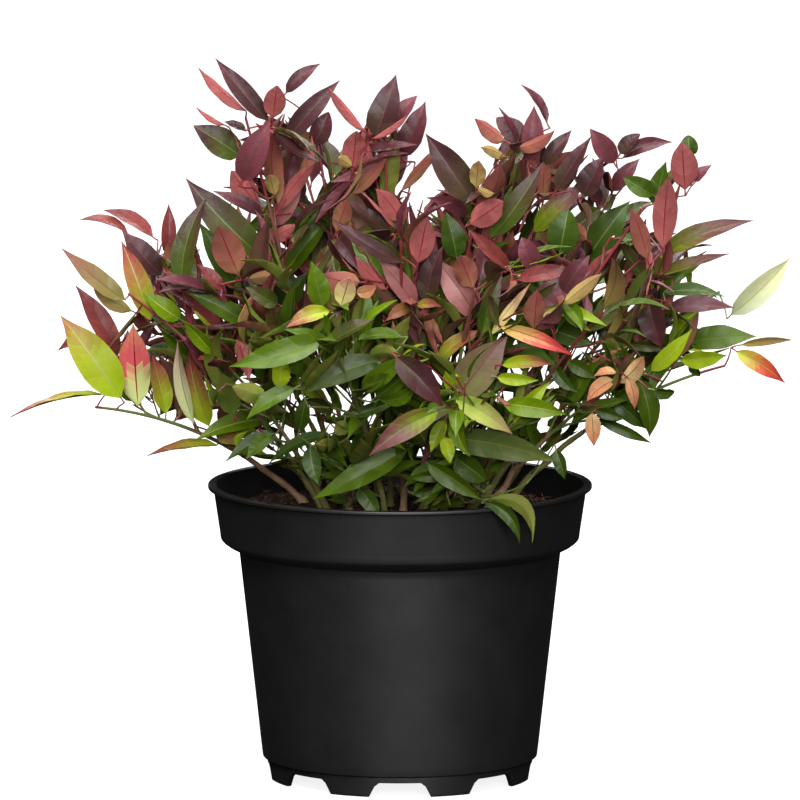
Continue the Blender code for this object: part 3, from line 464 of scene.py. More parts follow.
# The leaves that show best in the photograph, by the shoot that carries them: the pixels of the
# foot and of the tip in the 800 by 800 frame, the width in millimetres and the dress, with the side
# that shows where that is the underside. Then, where they differ from the defaults: how far in
# millimetres the tip leans towards the camera, how far the leaf is rolled in degrees, how far it
# bows sideways as a share of its length, and how far in millimetres it stands behind its stem.
Seen = namedtuple("Seen", "foot_x foot_y tip_x tip_y width dress lean roll bow ahead",
                  defaults=(6, 0, 0, -4))
SEEN = (
    ("left_arm", (
        (101, 394, 8, 411, 12.5, "yellow_red", 0, 74, 0.05),
        (121, 398, 62, 315, 24, "lime_edge", 4, 8),
        (138, 406, 132, 320, 20.5, "under salmon", 6, 5, 0, -22),
        (194, 424, 175, 340, 10, "under pale", 6, 20, 0.03, -14),
        (209, 426, 187, 352, 16.5, "lime_red", 4, -18, -0.03, -8),
        (166, 414, 152, 350, 13.5, "lime_red", 0, 20, 0, 4),
        (178, 412, 161, 352, 15.5, "under plum", 0, -30, 0, 10),
        (217, 445, 146, 450, 13.5, "yellow_red", 4, 62),
        (276, 419, 194, 434, 15, "fresh_green", 14, 38, 0.03, -12),
        (118, 356, 77, 284, 14, "dark_red", 2, 12, 0.02, 14),
        (96, 342, 56, 346, 12, "dark_red", 0, 50, 0.06, 18),
    )),
    ("left_shoulder", (
        (150, 320, 123, 240, 15, "yellow_red", 2, 10, 0, 10),
        (125, 300, 63, 247, 13.5, "tan", 4, 15, -0.04),
        (132, 311, 87, 280, 11, "under olive", 0, 40, 0.04, 8),
        (180, 319, 145, 292, 12.7, "fresh_green", 8, 10, -0.04, -14),
        (161, 275, 124, 229, 15.5, "plum", 6, 14, -0.04, -8),
        (168, 266, 189, 235, 15, "under burgundy", 8, 10, 0, -14),
        (167, 256, 170, 203, 9.5, "dark_red", 0, 10),
        (153, 237, 105, 206, 11, "dark_red", 0, 44, 0.05),
        (128, 234, 81, 212, 9, "crimson", 0, 58, 0.06),
        (182, 291, 203, 196, 15, "green_plum", 4, -18, -0.06),
        (225, 335, 167, 285, 11, "dark_red", 4, 30, 0.05, 4),
        (186, 332, 152, 312, 16, "deep_green", 4, 30, 0.04, 2),
    )),
    ("left_high", (
        (252, 328, 186, 291, 12, "green", 6, 14, 0.04, -6),
        (239, 275, 216, 222, 19, "under brown", 8, 5, 0, -14),
        (241, 292, 200, 221, 15.5, "deep_green", 2, 10, 0, 8),
        (262, 257, 188, 177, 21, "green_plum", 8, 12, -0.04, -8),
        (277, 304, 247, 287, 12, "olive", 8, 10, -0.03, -20),
    )),
    ("top_left_outer", (
        (268, 121, 217, 56, 12.5, "plum", 2, 14, -0.03),
        (246, 111, 192, 72, 9, "under wine", 2, 45, -0.05),
        (224, 125, 194, 110, 5, "under wine", 0, 45, -0.04),
        (246, 131, 225, 119, 6, "plum", 0, 45, -0.04),
        (241, 156, 194, 125, 18, "green_plum", 4, 10, 0, 6),
        (243, 181, 268, 121, 19, "wine", 8, -12, 0, -10),
        (273, 118, 277, 84, 13.5, "under wine", 8, 5, 0, -12),
        (257, 204, 229, 170, 16, "under wine", 4, 10, 0, 2),
        (262, 215, 216, 186, 11, "burgundy", 8, 35, -0.06, -12),
        (275, 195, 269, 173, 10, "under straw", 6, 0, 0, -14),
    )),
    ("top_left_inner", (
        (286, 93, 320, 62, 9, "burgundy", 0, -12, -0.04, 4),
        (285, 143, 338, 78, 13.5, "plum", 4, -14),
        (276, 212, 321, 159, 9.4, "under crimson", 8, -10, 0.05, -10),
        # The next leaf is dark red, lightened to pink by painted sheen.
        (274, 226, 303, 180, 13, "rose", 4, -8, 0, -2),
        (265, 241, 301, 224, 10, "under wine", 8, -10, 0, -12),
        (314, 144, 330, 112, 13.5, "plum", 2, 12),
        (279, 280, 330, 214, 14.6, "mid_green", 8, -14, 0, -10),
        (273, 319, 307, 272, 16.5, "deep_green", 6, -10, 0, -2),
    )),
    ("top_middle", (
        (365, 132, 320, 88, 7, "under wine", 6, 35, -0.05, -8),
        (373, 141, 393, 72, 18, "plum", 2, -16, 0.05),
        (396, 123, 416, 94, 10.5, "wine", 0, -20, 0, 6),
        (402, 157, 423, 100, 16, "burgundy", 4, -16, 0.05, -2),
        (372, 139, 416, 117, 5, "under wine", 8, -40, 0.05, -12),
        (352, 171, 357, 128, 15.6, "under wine", 8, 0, 0, -16),
        (352, 166, 337, 157, 8, "under straw", 6, 0, 0, -20),
        (351, 195, 390, 156, 8, "under brown", 6, -20, 0, -12),
        (370, 151, 417, 140, 8, "burgundy", 6, -40, 0.04, -6),
        (401, 191, 447, 145, 8, "under brown", 4, -30, 0.06),
        (388, 232, 347, 197, 10, "plum", 8, 20, -0.04, -14),
        (401, 221, 374, 188, 12.5, "under wine", 8, 15, -0.05, -16),
        (336, 232, 349, 196, 12, "under brown", 8, 0, 0, -20),
    )),
    ("front_centre", (
        (403, 263, 333, 216, 10, "plum", 8, 20, -0.06),
        (418, 263, 428, 213, 15, "under wine", 10, 0, 0, -8),
        # The next leaf is dark red, lightened to pink by painted sheen.
        (415, 305, 380, 258, 14, "rose", 10, 12, 0, -8),
        (386, 290, 351, 255, 10, "under crimson", 6, 15, 0, -2),
        (360, 282, 322, 276, 17, "under brown", 4, 10, 0.05, 2),
        (417, 306, 441, 307, 6, "amber", 8, 0, -0.12, -12),
        (412, 306, 386, 321, 7.5, "coral", 8, 0, 0.08, -12),
        (427, 304, 441, 246, 14.5, "plum", 4, -20, -0.05, -2),
        # The next leaf is dark red, lightened to pink by painted sheen.
        (477, 317, 437, 257, 18, "rose", 4, 10, 0, 2),
        (473, 288, 458, 252, 15, "under brown", 6, 5),
    )),
    ("top_right_inner", (
        (472, 203, 427, 133, 20, "plum", 2, 12),
        (490, 238, 541, 161, 14.5, "green_plum", 6, -14, 0.05, -6),
        (476, 188, 479, 158, 10.5, "under straw", 8, 0, 0, -16),
        (477, 187, 498, 194, 5, "under straw", 8, 0, -0.12, -16),
        (470, 224, 508, 199, 15.5, "under wine", 8, -5, 0, -14),
        (510, 269, 470, 226, 9.5, "dark_red", 8, 25, -0.04, -16),
        (457, 258, 447, 212, 15, "deep_green", 4, 10, 0, -2),
        (505, 141, 472, 120, 12, "under burgundy", 4, 35, -0.05),
    )),
    ("top_right", (
        (547, 123, 523, 83, 7, "burgundy", 0, 40, 0.08),
        (524, 141, 497, 116, 15, "plum", 0, 20, -0.03),
        (518, 141, 503, 105, 5.5, "burgundy", 4, 45, -0.06, -12),
        (531, 161, 535, 105, 14, "wine", 2, 5),
        (515, 148, 559, 133, 9.5, "under burgundy", 10, -35, -0.05, -14),
        (505, 157, 479, 148, 7.5, "under straw", 6, 30, -0.08, -14),
        (544, 165, 570, 128, 10.4, "plum", 2, -20, 0.03),
        (543, 198, 544, 162, 11.5, "under brown", 6, 0, 0, -12),
        (534, 232, 584, 180, 13.5, "lime_plum", 8, -14, 0, -14),
        (519, 246, 539, 205, 9, "deep_green", 6, 10, 0.04, 0),
    )),
    ("right_high", (
        (556, 190, 589, 134, 12.5, "plum", 4, -20, 0.03, -6),
        (614, 163, 591, 129, 13.5, "wine", 6, 10, 0, -8),
        (620, 154, 639, 133, 10.5, "plum", 2, -30),
        (623, 158, 672, 140, 10, "burgundy", 2, -25, -0.08),
        (613, 191, 637, 157, 11, "burgundy", 6, -25, 0.03, -10),
        (583, 196, 602, 158, 16, "plum", 4, -10),
        (601, 203, 574, 174, 10.5, "burgundy", 8, 25, 0, -14),
        (588, 258, 628, 200, 19, "deep_green", 6, -12, 0, -12),
        (560, 252, 568, 210, 20, "deep_green", 4, 0, 0, -8),
        (587, 240, 569, 229, 12, "under brown", 8, 0, -0.06, -22),
    )),
    ("right_upper", (
        (685, 190, 682, 140, 17.5, "under wine", 8, 0, 0, -8),
        (695, 182, 711, 164, 7, "wine", 0, -20, -0.05),
        (690, 156, 688, 135, 11, "deep_green", 0, 0, 0, 4),
        (653, 195, 625, 176, 13, "green", 4, 30, -0.06, 8),
        (655, 206, 665, 162, 13, "deep_green", 4, -20, 0, 6),
        (663, 248, 668, 167, 15, "under wine", 10, 5, 0, -14),
        (647, 259, 629, 206, 12, "under burgundy", 8, 8, -0.04, -12),
    )),
    ("right_shoulder", (
        (655, 260, 752, 215, 14, "lime_plum", 6, -25, -0.03),
        (656, 277, 728, 249, 10, "lime_plum", 6, -40, 0.03, -2),
        (648, 285, 618, 235, 11, "olive", 8, 20, -0.03, -12),
        (663, 293, 724, 294, 10, "deep_green", 6, -30, -0.06, 4),
        (649, 305, 660, 346, 17.5, "plum", 12, 10, 0, -22),
        (668, 309, 734, 305, 12, "burgundy", 8, -20, -0.03, -8),
    )),
    ("right_arm_high", (
        (731, 315, 792, 256, 15.5, "cream", 2, 0, 0.03, -10),
        (686, 342, 756, 334, 16, "mid_green", 8, -20),
    )),
    ("right_arm", (
        (651, 371, 691, 329, 11, "lime", 10, -12, 0.05, -14),
        (681, 360, 727, 359, 12, "lime", 8, 30, -0.04),
        (736, 351, 785, 384, 11, "ember", 4, 10, -0.05),
        (741, 345, 795, 344, 6, "straw", 0, 35, -0.1),
        (693, 361, 699, 377, 8, "deep_green", 0, 40, 0.03),
    )),
    ("right_low_arm", (
        (620, 383, 649, 355, 11, "under peach", 6, -25),
        (614, 380, 586, 400, 10.5, "peach", 6, 20, 0.04, -8),
        (617, 373, 594, 375, 7, "peach", 4, 45, 0.1, -8),
        (628, 378, 634, 410, 7.5, "peach", 6, 10, -0.08, -8),
        (592, 413, 594, 447, 9.5, "peach", 4, 0, 0, -8),
        (638, 378, 652, 440, 15, "green", 4, -10, -0.05, 8),
        (613, 398, 646, 432, 11, "deep_green", 2, 20, -0.04, 12),
        (598, 419, 652, 447, 7, "deep_green", 4, 20, -0.04, 6),
        (595, 410, 625, 421, 7, "deep_green", 4, 20, -0.04, 4),
    )),
    ("right_arm", (
        (622, 344, 676, 351, 7, "olive", 4, 30, -0.04, 4),
    )),
    ("left_high", (
        (222, 290, 198, 263, 9, "dark_red", 2, 20, 0, 4),
    )),
    ("right_low_arm", (
        (654, 390, 675, 394, 9, "green", 0, 40, 0, 8),
    )),
    ("front_right", (
        (518, 280, 578, 269, 10, "dark_red", 10, -20, -0.03, -10),
        (533, 267, 523, 238, 13, "wine", 6, 10, 0, -6),
        (563, 292, 588, 255, 14, "burgundy", 6, -12),
        (562, 305, 608, 272, 9, "under straw", 10, -12, 0.03, -14),
        (534, 329, 537, 288, 14, "under brown", 8, 0, 0, -8),
        (490, 336, 534, 284, 8, "under blush", 8, -35, 0.05, -10),
        (501, 327, 572, 358, 10, "flame", 12, 15, -0.06, -16),
        (437, 367, 483, 326, 10, "yellow_red", 6, -30, -0.08, -6),
    )),
    ("low_front_right", (
        (457, 398, 505, 336, 23, "grey_plum", 10, -10, 0, -8),
        (396, 357, 442, 410, 18, "plum", 10, 10, -0.06, -16),
        (455, 385, 446, 372, 12, "lime", 6, 0, 0, -20),
        (455, 398, 512, 436, 13.5, "lime_blush", 10, 10, -0.06, -18),
        (439, 410, 370, 457, 14.6, "lime_plum", 10, -12, 0.06, -18),
        (445, 420, 430, 452, 9.5, "lime", 6, 10, 0, -20),
        (445, 437, 450, 463, 9, "lime", 6, 0, 0, -20),
        (503, 404, 567, 416, 12.5, "fresh_green", 8, 10, -0.04, -8),
        (497, 377, 538, 381, 8, "lime", 8, 10),
        (502, 365, 553, 367, 8, "lime_red", 8, 15, -0.1),
        (446, 438, 558, 468, 18, "grey_blush", 12, 25, -0.08, -2),
    )),
    ("low_front_left", (
        (324, 339, 228, 364, 16.7, "mid_green", 12, 12, -0.04, -14),
        (382, 361, 303, 392, 15.6, "grey_green", 12, 12, 0.05, -14),
        (402, 337, 350, 339, 9.5, "mid_green", 6, 35, 0.05, -6),
        (330, 342, 372, 315, 12, "olive", 6, -35, 0.05, -6),
        (341, 306, 350, 275, 12.5, "under blush", 8, 0, 0, -10),
        (357, 293, 376, 287, 8, "peach", 6, 20, 0.05, -10),
        (330, 311, 286, 327, 11, "yellow_red", 8, 15, 0.06, -10),
        (322, 307, 312, 262, 14, "mid_green", 6, 10),
        (295, 388, 245, 418, 11, "mid_green", 10, 15, 0.04, -6),
        (280, 387, 281, 352, 11.5, "lime", 6, 10, 0, 2),
        (267, 397, 231, 387, 12.5, "under mid_green", 4, 10, 0, 8),
    )),
    ("left_middle", (
        (234, 416, 221, 370, 14.5, "under grey_green"),
        (237, 340, 250, 381, 11, "under crimson", 6, 15, 0.03, 2),
        (277, 433, 225, 460, 10, "deep_green", 8, 25, 0.04, -2),
        (271, 435, 246, 458, 9.5, "mid_green", 10, 20, 0.03, -12),
        (333, 413, 304, 399, 9, "olive", 6, 10, 0.04, 6),
    )),
    ("low_front_left", (
        (396, 399, 338, 417, 8.5, "deep_green", 6, 15, -0.06, 8),
        (345, 420, 337, 437, 9, "under mid_green", 6, 0, 0, 6),
    )),
    ("right_front", (
        (551, 329, 592, 344, 13, "deep_green", 6, 10, 0, 12),
        (553, 361, 578, 394, 8, "deep_green", 6, 15, 0.1, 6),
        (568, 362, 596, 379, 9, "green", 6, 5, -0.04, 4),
    )),
    ("rim_left", (
        (330, 434, 266, 459, 9, "deep_green", 6, 40, 0.05, 14),
        (408, 448, 310, 497, 15.6, "mid_green", 10, 12, -0.03, -6),
        (310, 446, 319, 485, 11, "deep_green", 6, 0, 0.05, 10),
        (299, 430, 307, 396, 9.5, "deep_green", 6, 10, 0, 14),
        (359, 488, 379, 518, 10.5, "deep_green", 8, 10, -0.04),
    )),
    ("rim_right", (
        (427, 463, 481, 503, 12.5, "green", 10, 20, -0.05, -6),
        (456, 458, 485, 482, 16, "deep_green", 6, 20, -0.04, 6),
        (484, 502, 519, 545, 9, "deep_green", 8, 10, -0.2, -2),
        (487, 499, 536, 543, 10, "under fresh_green", 8, 15, 0.28, -12),
        (556, 450, 564, 480, 8.5, "deep_green", 4, 15, -0.04),
    )),
)

# Discs where the photograph shows sky or the pot's wall: the pixel of the middle and the radius.
SKY = (
    (150, 150, 52), (182, 185, 22), (40, 300, 38), (30, 240, 34), (110, 160, 36), (40, 360, 22),
    (205, 245, 5), (450, 70, 62), (448, 128, 12), (352, 60, 22), (640, 90, 42), (580, 90, 36),
    (490, 85, 20), (730, 150, 44), (790, 210, 40), (755, 260, 16), (690, 410, 34), (740, 420, 48),
    (700, 390, 20), (600, 445, 12), (735, 322, 6), (175, 320, 4), (120, 440, 40), (180, 475, 24),
    (165, 232, 3), (590, 345, 9), (345, 398, 6), (315, 430, 6), (262, 46, 22), (302, 40, 20),
    (350, 90, 12), (365, 66, 10), (545, 80, 14), (516, 88, 8), (680, 118, 16), (706, 136, 10),
    (100, 300, 10), (650, 215, 5), (425, 178, 7), (312, 196, 5), (400, 185, 4), (340, 140, 6),
    (207, 255, 5), (312, 352, 2), (290, 401, 3), (311, 420, 4), (303, 449, 3), (288, 427, 2),
    (274, 437, 3), (345, 396, 2), (369, 410, 4), (332, 412, 2), (330, 431, 3), (514, 318, 4),
    (577, 352, 3), (545, 376, 4), (558, 384, 3), (509, 396, 4), (547, 428, 3), (565, 427, 3),
    (571, 411, 3), (544, 442, 2), (494, 451, 5), (597, 295, 4), (630, 309, 2), (666, 330, 4),
    (516, 343, 2), (601, 291, 3), (300, 600, 92), (400, 612, 104), (500, 620, 92), (440, 560, 40),
)

# The edge of the crown as the photograph shows it, in pixels: the leaves that grow by rule stay
# inside it, and the leaves above make the spikes that stand out.
CROWN_EDGE = (
    (228, 466), (216, 444), (190, 426), (160, 414), (135, 404), (115, 394), (100, 388), (95, 372),
    (100, 350), (118, 335), (128, 322), (134, 296), (132, 262), (150, 246), (165, 238), (178, 240),
    (192, 222), (206, 206), (214, 192), (232, 180), (238, 165), (236, 142), (244, 128), (256, 112),
    (272, 102), (288, 98), (300, 112), (318, 112), (326, 124), (334, 136), (346, 140), (360, 128),
    (372, 104), (388, 98), (398, 112), (412, 120), (420, 136), (414, 158), (404, 172), (408, 190),
    (425, 196), (434, 198), (438, 182), (440, 165), (455, 165), (470, 178), (488, 176), (498, 166),
    (494, 150), (500, 138), (512, 128), (526, 118), (540, 120), (552, 132), (562, 146), (582, 146),
    (604, 150), (622, 160), (612, 180), (622, 196), (648, 203), (652, 188), (660, 172), (668, 158),
    (684, 150), (694, 160), (692, 178), (684, 192), (676, 212), (672, 232), (712, 236), (722, 242),
    (716, 256), (700, 268), (676, 286), (715, 294), (722, 302), (705, 316), (690, 322), (728, 336),
    (735, 345), (716, 356), (700, 362), (660, 372), (662, 400), (652, 425), (625, 420), (592, 418),
    (580, 430), (572, 445), (560, 470), (520, 468), (500, 470), (486, 484), (480, 505), (440, 510),
    (380, 512), (340, 505), (310, 500), (300, 480), (262, 462), (240, 452),
)


def mixed(stops, share):
    """The colour at a share of the way along a row of stops."""
    place = share * (len(stops) - 1)
    index = min(int(place), len(stops) - 2)
    part = place - index
    return tuple(a + (b - a) * part for a, b in zip(stops[index], stops[index + 1]))


def make_tints():
    """Every tint by name, in a fixed order, and where each ramp starts in that order."""
    tints, starts = {}, {}
    for name, (steps, *stops) in RAMPS.items():
        starts[name] = len(tints)
        stops = [tuple(value / 1000 for value in stop) for stop in stops]
        for step in range(steps):
            tints[f"{name}_{step}"] = mixed(stops, step / (steps - 1))
    for name, colour in RIBS.items():
        starts[name] = len(tints)
        tints[name] = colour
    return tints, starts


TINTS, TINT_STARTS = make_tints()


# Materials.
def new_material(name, colour, roughness, specular):
    material = bpy.data.materials.new(name)
    material.use_nodes = True
    shader = material.node_tree.nodes["Principled BSDF"]
    shader.inputs["Base Color"].default_value = (*colour, 1.0)
    shader.inputs["Roughness"].default_value = roughness
    shader.inputs["Specular IOR Level"].default_value = specular
    return material, shader


def node(tree, kind, **values):
    """A new shader node, with the values of its inputs; an underscore stands for a space."""
    made = tree.nodes.new(kind)
    for key, value in values.items():
        made.inputs[key.replace("_", " ")].default_value = value
    return made


def noise_on(tree, scale, detail, roughness=0.6):
    """A noise that stays fixed to the object."""
    place = node(tree, "ShaderNodeTexCoord")
    noise = node(tree, "ShaderNodeTexNoise", Scale=scale, Detail=detail, Roughness=roughness)
    tree.links.new(place.outputs["Object"], noise.inputs["Vector"])
    return noise.outputs["Fac"]


def textured(name, colour, roughness, specular, grain, relief, gloss=None, tones=None, peel=None):
    """A material whose gloss, tone and relief follow a noise; peel is a finer noise for the relief."""
    material, shader = new_material(name, colour, roughness, specular)
    tree = material.node_tree
    noise = noise_on(tree, *grain)
    if gloss:
        ranged = node(tree, "ShaderNodeMapRange", To_Min=gloss[0], To_Max=gloss[1])
        tree.links.new(noise, ranged.inputs["Value"])
        tree.links.new(ranged.outputs["Result"], shader.inputs["Roughness"])
    if tones:
        ramp = node(tree, "ShaderNodeValToRGB")
        for element, (place, tone) in zip(ramp.color_ramp.elements, tones):
            element.position, element.color = place, (*tone, 1.0)
        tree.links.new(noise, ramp.inputs["Fac"])
        tree.links.new(ramp.outputs["Color"], shader.inputs["Base Color"])
    bump = node(tree, "ShaderNodeBump", Strength=relief[0], Distance=relief[1])
    tree.links.new(noise_on(tree, *peel) if peel else noise, bump.inputs["Height"])
    tree.links.new(bump.outputs["Normal"], shader.inputs["Normal"])
    return material


def leaf_material(name):
    """A satin leaf: a plain base colour, with fine cells in its gloss and relief."""
    satin = name.startswith(SATIN_TINTS)
    return textured("leaf_" + name, TINTS[name], 0.4, 0.14 if satin else 0.25, (330.0, 4.0),
                    (0.45, 0.40 * MM), (0.50, 0.66) if satin else (0.28, 0.48))


def stem_material(name, colour):
    return textured(name, colour, 0.42, 0.5, (700.0, 3.0), (0.25, 0.25 * MM), (0.34, 0.52))


def pot_material():
    return textured("pot_black", (0.0060, 0.0060, 0.0062), 0.46, 0.9, (26.0, 6.0, 0.65), (0.12, 0.12 * MM),
                    (0.40, 0.52), ((0.30, (0.0045, 0.0045, 0.0047)), (0.72, (0.0080, 0.0080, 0.0082))),
                    (900.0, 2.0))


def peat_material(name, dark, light):
    return textured(name, dark, 0.9, 0.25, (260.0, 6.0, 0.7), (0.8, 1.2 * MM),
                    tones=((0.35, dark), (0.68, light)))


def bark_material(name, dark, light, scale=150.0):
    return textured(name, dark, 0.62, 0.4, (scale, 5.0, 0.65), (0.4, 0.4 * MM),
                    tones=((0.32, dark), (0.66, light)))


# Meshes.
def add_object(name, data):
    made = bpy.data.objects.new(name, data)
    bpy.context.scene.collection.objects.link(made)
    return made


def mesh_object(name, points, faces, materials, face_materials=None, sharp_degrees=None):
    """A mesh from arrays: points (n, 3) and faces (m, 4), where a triangle repeats its last corner."""
    mesh = bpy.data.meshes.new(name)
    points = np.asarray(points, dtype=np.float32).reshape(-1, 3)
    faces = np.asarray(faces, dtype=np.int32).reshape(-1, 4)
    keep = np.ones(faces.shape, dtype=bool)
    keep[:, 3] = faces[:, 2] != faces[:, 3]
    starts = np.concatenate(([0], np.cumsum(keep.sum(axis=1))[:-1]))
    corners = faces[keep]
    mesh.vertices.add(len(points))
    mesh.vertices.foreach_set("co", points.ravel())
    mesh.loops.add(len(corners))
    mesh.loops.foreach_set("vertex_index", corners)
    mesh.polygons.add(len(faces))
    mesh.polygons.foreach_set("loop_start", starts.astype(np.int32))
    if face_materials is not None:
        mesh.polygons.foreach_set("material_index", np.asarray(face_materials, dtype=np.int32))
    for material in materials:
        mesh.materials.append(material)
    mesh.update(calc_edges=True)
    mesh.shade_smooth()
    if sharp_degrees is not None:
        mesh.set_sharp_from_angle(angle=math.radians(sharp_degrees))
    return add_object(name, mesh)


class Gather:
    """Collects the points and faces of many small things that become one mesh."""

    def __init__(self):
        self.points, self.faces, self.kinds = [], [], []
        self.count = 0

    def add(self, points, faces, kind=0):
        self.points.append(np.asarray(points, dtype=np.float64).reshape(-1, 3))
        self.faces.append(np.asarray(faces, dtype=np.int64).reshape(-1, 4) + self.count)
        self.kinds.append(np.full(len(self.faces[-1]), kind))
        self.count += len(self.points[-1])

    def object(self, name, materials, sharp_degrees=None):
        return mesh_object(name, np.concatenate(self.points), np.concatenate(self.faces), materials,
                           np.concatenate(self.kinds), sharp_degrees)


def tube_arrays(points, radii, sides, flat_foot=False, roundness=None):
    """A closed tapering tube as arrays; roundness gives each ring's radius by side."""
    points = [Vector(point) for point in points]
    across = Vector((0.0, 1.0, 0.0))
    angles = np.arange(sides) * 2.0 * math.pi / sides
    rings = []
    for index, place in enumerate(points):
        ahead = (points[min(index + 1, len(points) - 1)] - points[max(index - 1, 0)]).normalized()
        if flat_foot and index == 0:
            ahead = UP
        across = (across - ahead * across.dot(ahead)).normalized()
        other = ahead.cross(across)
        radius = radii[index] if roundness is None else radii[index] * roundness[index]
        ring = (np.outer(np.cos(angles) * radius, across) + np.outer(np.sin(angles) * radius, other))
        rings.append(ring + np.array(place))
    corners = np.concatenate(rings + [np.array([points[0], points[-1]])])
    first, last = len(corners) - 2, len(corners) - 1
    top = (len(points) - 1) * sides
    faces = []
    for side in range(sides):
        after = (side + 1) % sides
        faces += [(first, after, side, side), (last, top + side, top + after, top + after)]
        faces += [(low + side, low + after, low + sides + after, low + sides + side)
                  for low in range(0, top, sides)]
    return corners, faces


# Paths: the same rule as the solids'.
def bezier(p0, p1, p2, p3, count):
    points = []
    for index in range(count):
        t = index / (count - 1)
        s = 1.0 - t
        points.append(p0 * s ** 3 + p1 * 3 * s * s * t + p2 * 3 * s * t * t + p3 * t ** 3)
    return points


def arching(start, end, arch_degrees):
    """A stem that starts steeper than its chord and ends flatter, by the arch angle."""
    chord = end - start
    level = Vector((chord.x, chord.y, 0.0))
    if level.length < 1.0 * MM:
        level = Vector((1.0, 0.0, 0.0))
    axis = level.normalized().cross(UP)
    arch = math.radians(arch_degrees)
    steep = Matrix.Rotation(arch, 3, axis) @ chord
    flat = Matrix.Rotation(-arch, 3, axis) @ chord
    return bezier(start, start + steep * HANDLE_SHARE, end - flat * HANDLE_SHARE, end, PATH_POINTS)


class Path:
    """A smooth line through points, read by distance along it."""

    def __init__(self, points):
        self.points = points
        self.total = [0.0]
        for first, second in zip(points, points[1:]):
            self.total.append(self.total[-1] + (second - first).length)
        self.length = self.total[-1]

    def at(self, distance):
        for index in range(len(self.points) - 1):
            if distance <= self.total[index + 1] or index == len(self.points) - 2:
                span = self.total[index + 1] - self.total[index]
                share = (distance - self.total[index]) / span
                first, second = self.points[index], self.points[index + 1]
                return first.lerp(second, share), (second - first).normalized()

    def piece(self, start, end, count):
        return [self.at(start + (end - start) * index / (count - 1))[0] for index in range(count)]


def radial(ahead, turn):
    """A unit vector square to a direction, turned about it from the upward side."""
    up = UP - ahead * ahead.z
    if up.length < 0.05:
        up = Vector((0, -1, 0)) - ahead * -ahead.y
    up.normalize()
    return up * math.cos(turn) + ahead.cross(up) * math.sin(turn)


def seen_at(pixel, depth):
    """The place that the photograph shows at a pixel, at a distance behind the pot's axis."""
    way = LOOK * FOCAL_PIXELS + LOOK_UP * (FRAME_PIXELS / 2 - pixel[1])
    way = way + Vector((pixel[0] - FRAME_PIXELS / 2, 0.0, 0.0))
    return CAMERA_PLACE + way * ((depth - CAMERA_PLACE.y) / way.y)


def pixel_of(place):
    """Where the photograph shows a place."""
    way = Vector(place) - CAMERA_PLACE
    far = way.dot(LOOK)
    return (FRAME_PIXELS / 2 + way.x * FOCAL_PIXELS / far,
            FRAME_PIXELS / 2 - way.dot(LOOK_UP) * FOCAL_PIXELS / far)


# Leaves: each is a thin sheet with two sides, bent along its midrib and folded across it.
LEAF_FIELDS = ("base", "ahead", "across", "upper", "length", "width", "bend", "fold", "twist",
               "sway", "wave", "phase", "blunt")
Leaf = namedtuple("Leaf", LEAF_FIELDS + ("dress", "start", "end", "root", "bud"), defaults=(False,))


def rows_and_columns():
    """The leaf's grid: its cross lines lie along the side veins, with a narrow row for each vein."""
    lines, kinds = [0.0], []
    for index in range(VEIN_PAIRS):
        place = VEIN_FIRST + (VEIN_LAST - VEIN_FIRST) * index / (VEIN_PAIRS - 0.4)
        if index > 0:
            lines.append((lines[-1] + place) / 2)
            kinds.append(0)
        lines += [place - VEIN_SHARE / 2, place + VEIN_SHARE / 2]
        kinds += [0, 1]
    half = (RIB_HALF_SHARE, BLADE_MIDDLE, 1.0)
    columns = np.array([-share for share in reversed(half)] + list(half))
    return np.array(lines + list(TIP_ROWS)), np.array(kinds + [0] * len(TIP_ROWS)), columns


def half_width(u, blunt):
    """The outline of the blade: rounded foot, widest before the middle, and a drawn or blunt tip."""
    u = np.clip(u, 0.0, 1.0)
    widest = OUTLINE_FOOT / (OUTLINE_FOOT + OUTLINE_TIP)
    shape = (u / widest) ** OUTLINE_FOOT * ((1.0 - u) / (1.0 - widest)) ** OUTLINE_TIP
    drawn = 1.0 - DRAWN_TIP * np.clip((u - DRAWN_START) / DRAWN_SPAN, 0.0, 1.0)
    broadest = OVAL_FOOT / (OVAL_FOOT + OVAL_TIP)
    oval = (u / broadest) ** OVAL_FOOT * ((1.0 - u) / (1.0 - broadest)) ** OVAL_TIP
    return 0.5 * (shape * drawn * (1.0 - blunt) + oval * blunt) + BLADE_SPARE


def leaf_points(leaf, rows, columns, lift=0.0, relief=None):
    """The blade's surface for arrays of leaves: shape (leaves, rows, columns, 3).

    Each field of leaf is an array over the leaves. lift raises the sheet, relief is its height by
    row and column.
    """
    r = rows[:, None]
    v = np.abs(columns)[None, :]
    u = r + VEIN_SLANT * v * 4.0 * r * (1.0 - r)
    side = np.sign(columns)[None, :]
    one = (slice(None), None, None)
    length, width = leaf["length"][one], leaf["width"][one]
    bend = leaf["bend"][one]
    half = half_width(u[None], leaf["blunt"][one]) * width
    start = bend * FOOT_BEND
    angle = start - bend * u[None]
    x = (np.sin(start) - np.sin(angle)) / bend * length
    z = (np.cos(angle) - np.cos(start)) / bend * length
    y = leaf["sway"][one] * length * 4.0 * (u[None] ** 2 - u[None])
    fold = leaf["fold"][one] * (1.0 - FOLD_FADE * u[None])
    waves = u[None] * EDGE_WAVES + leaf["phase"][one] + side[None] * EDGE_WAVE_SHIFT
    wave = leaf["wave"][one] * np.sin(waves)
    flat = half * v[None] * side[None]
    sideways = flat * np.cos(fold)
    height = np.abs(flat) * np.sin(fold) + wave * half * v[None] ** 2 + lift
    if relief is not None:
        height = height + relief[None]
    twist = leaf["twist"][one] * u[None]
    turned = sideways * np.cos(twist) - height * np.sin(twist)
    risen = sideways * np.sin(twist) + height * np.cos(twist)
    local_x = x - np.sin(angle) * risen
    local_y = y + turned
    local_z = z + np.cos(angle) * risen
    axes = (leaf["ahead"], leaf["across"], leaf["upper"])
    world = leaf["base"][:, None, None, :]
    for part, axis in zip((local_x, local_y, local_z), axes):
        world = world + part[..., None] * axis[:, None, None, :]
    return world


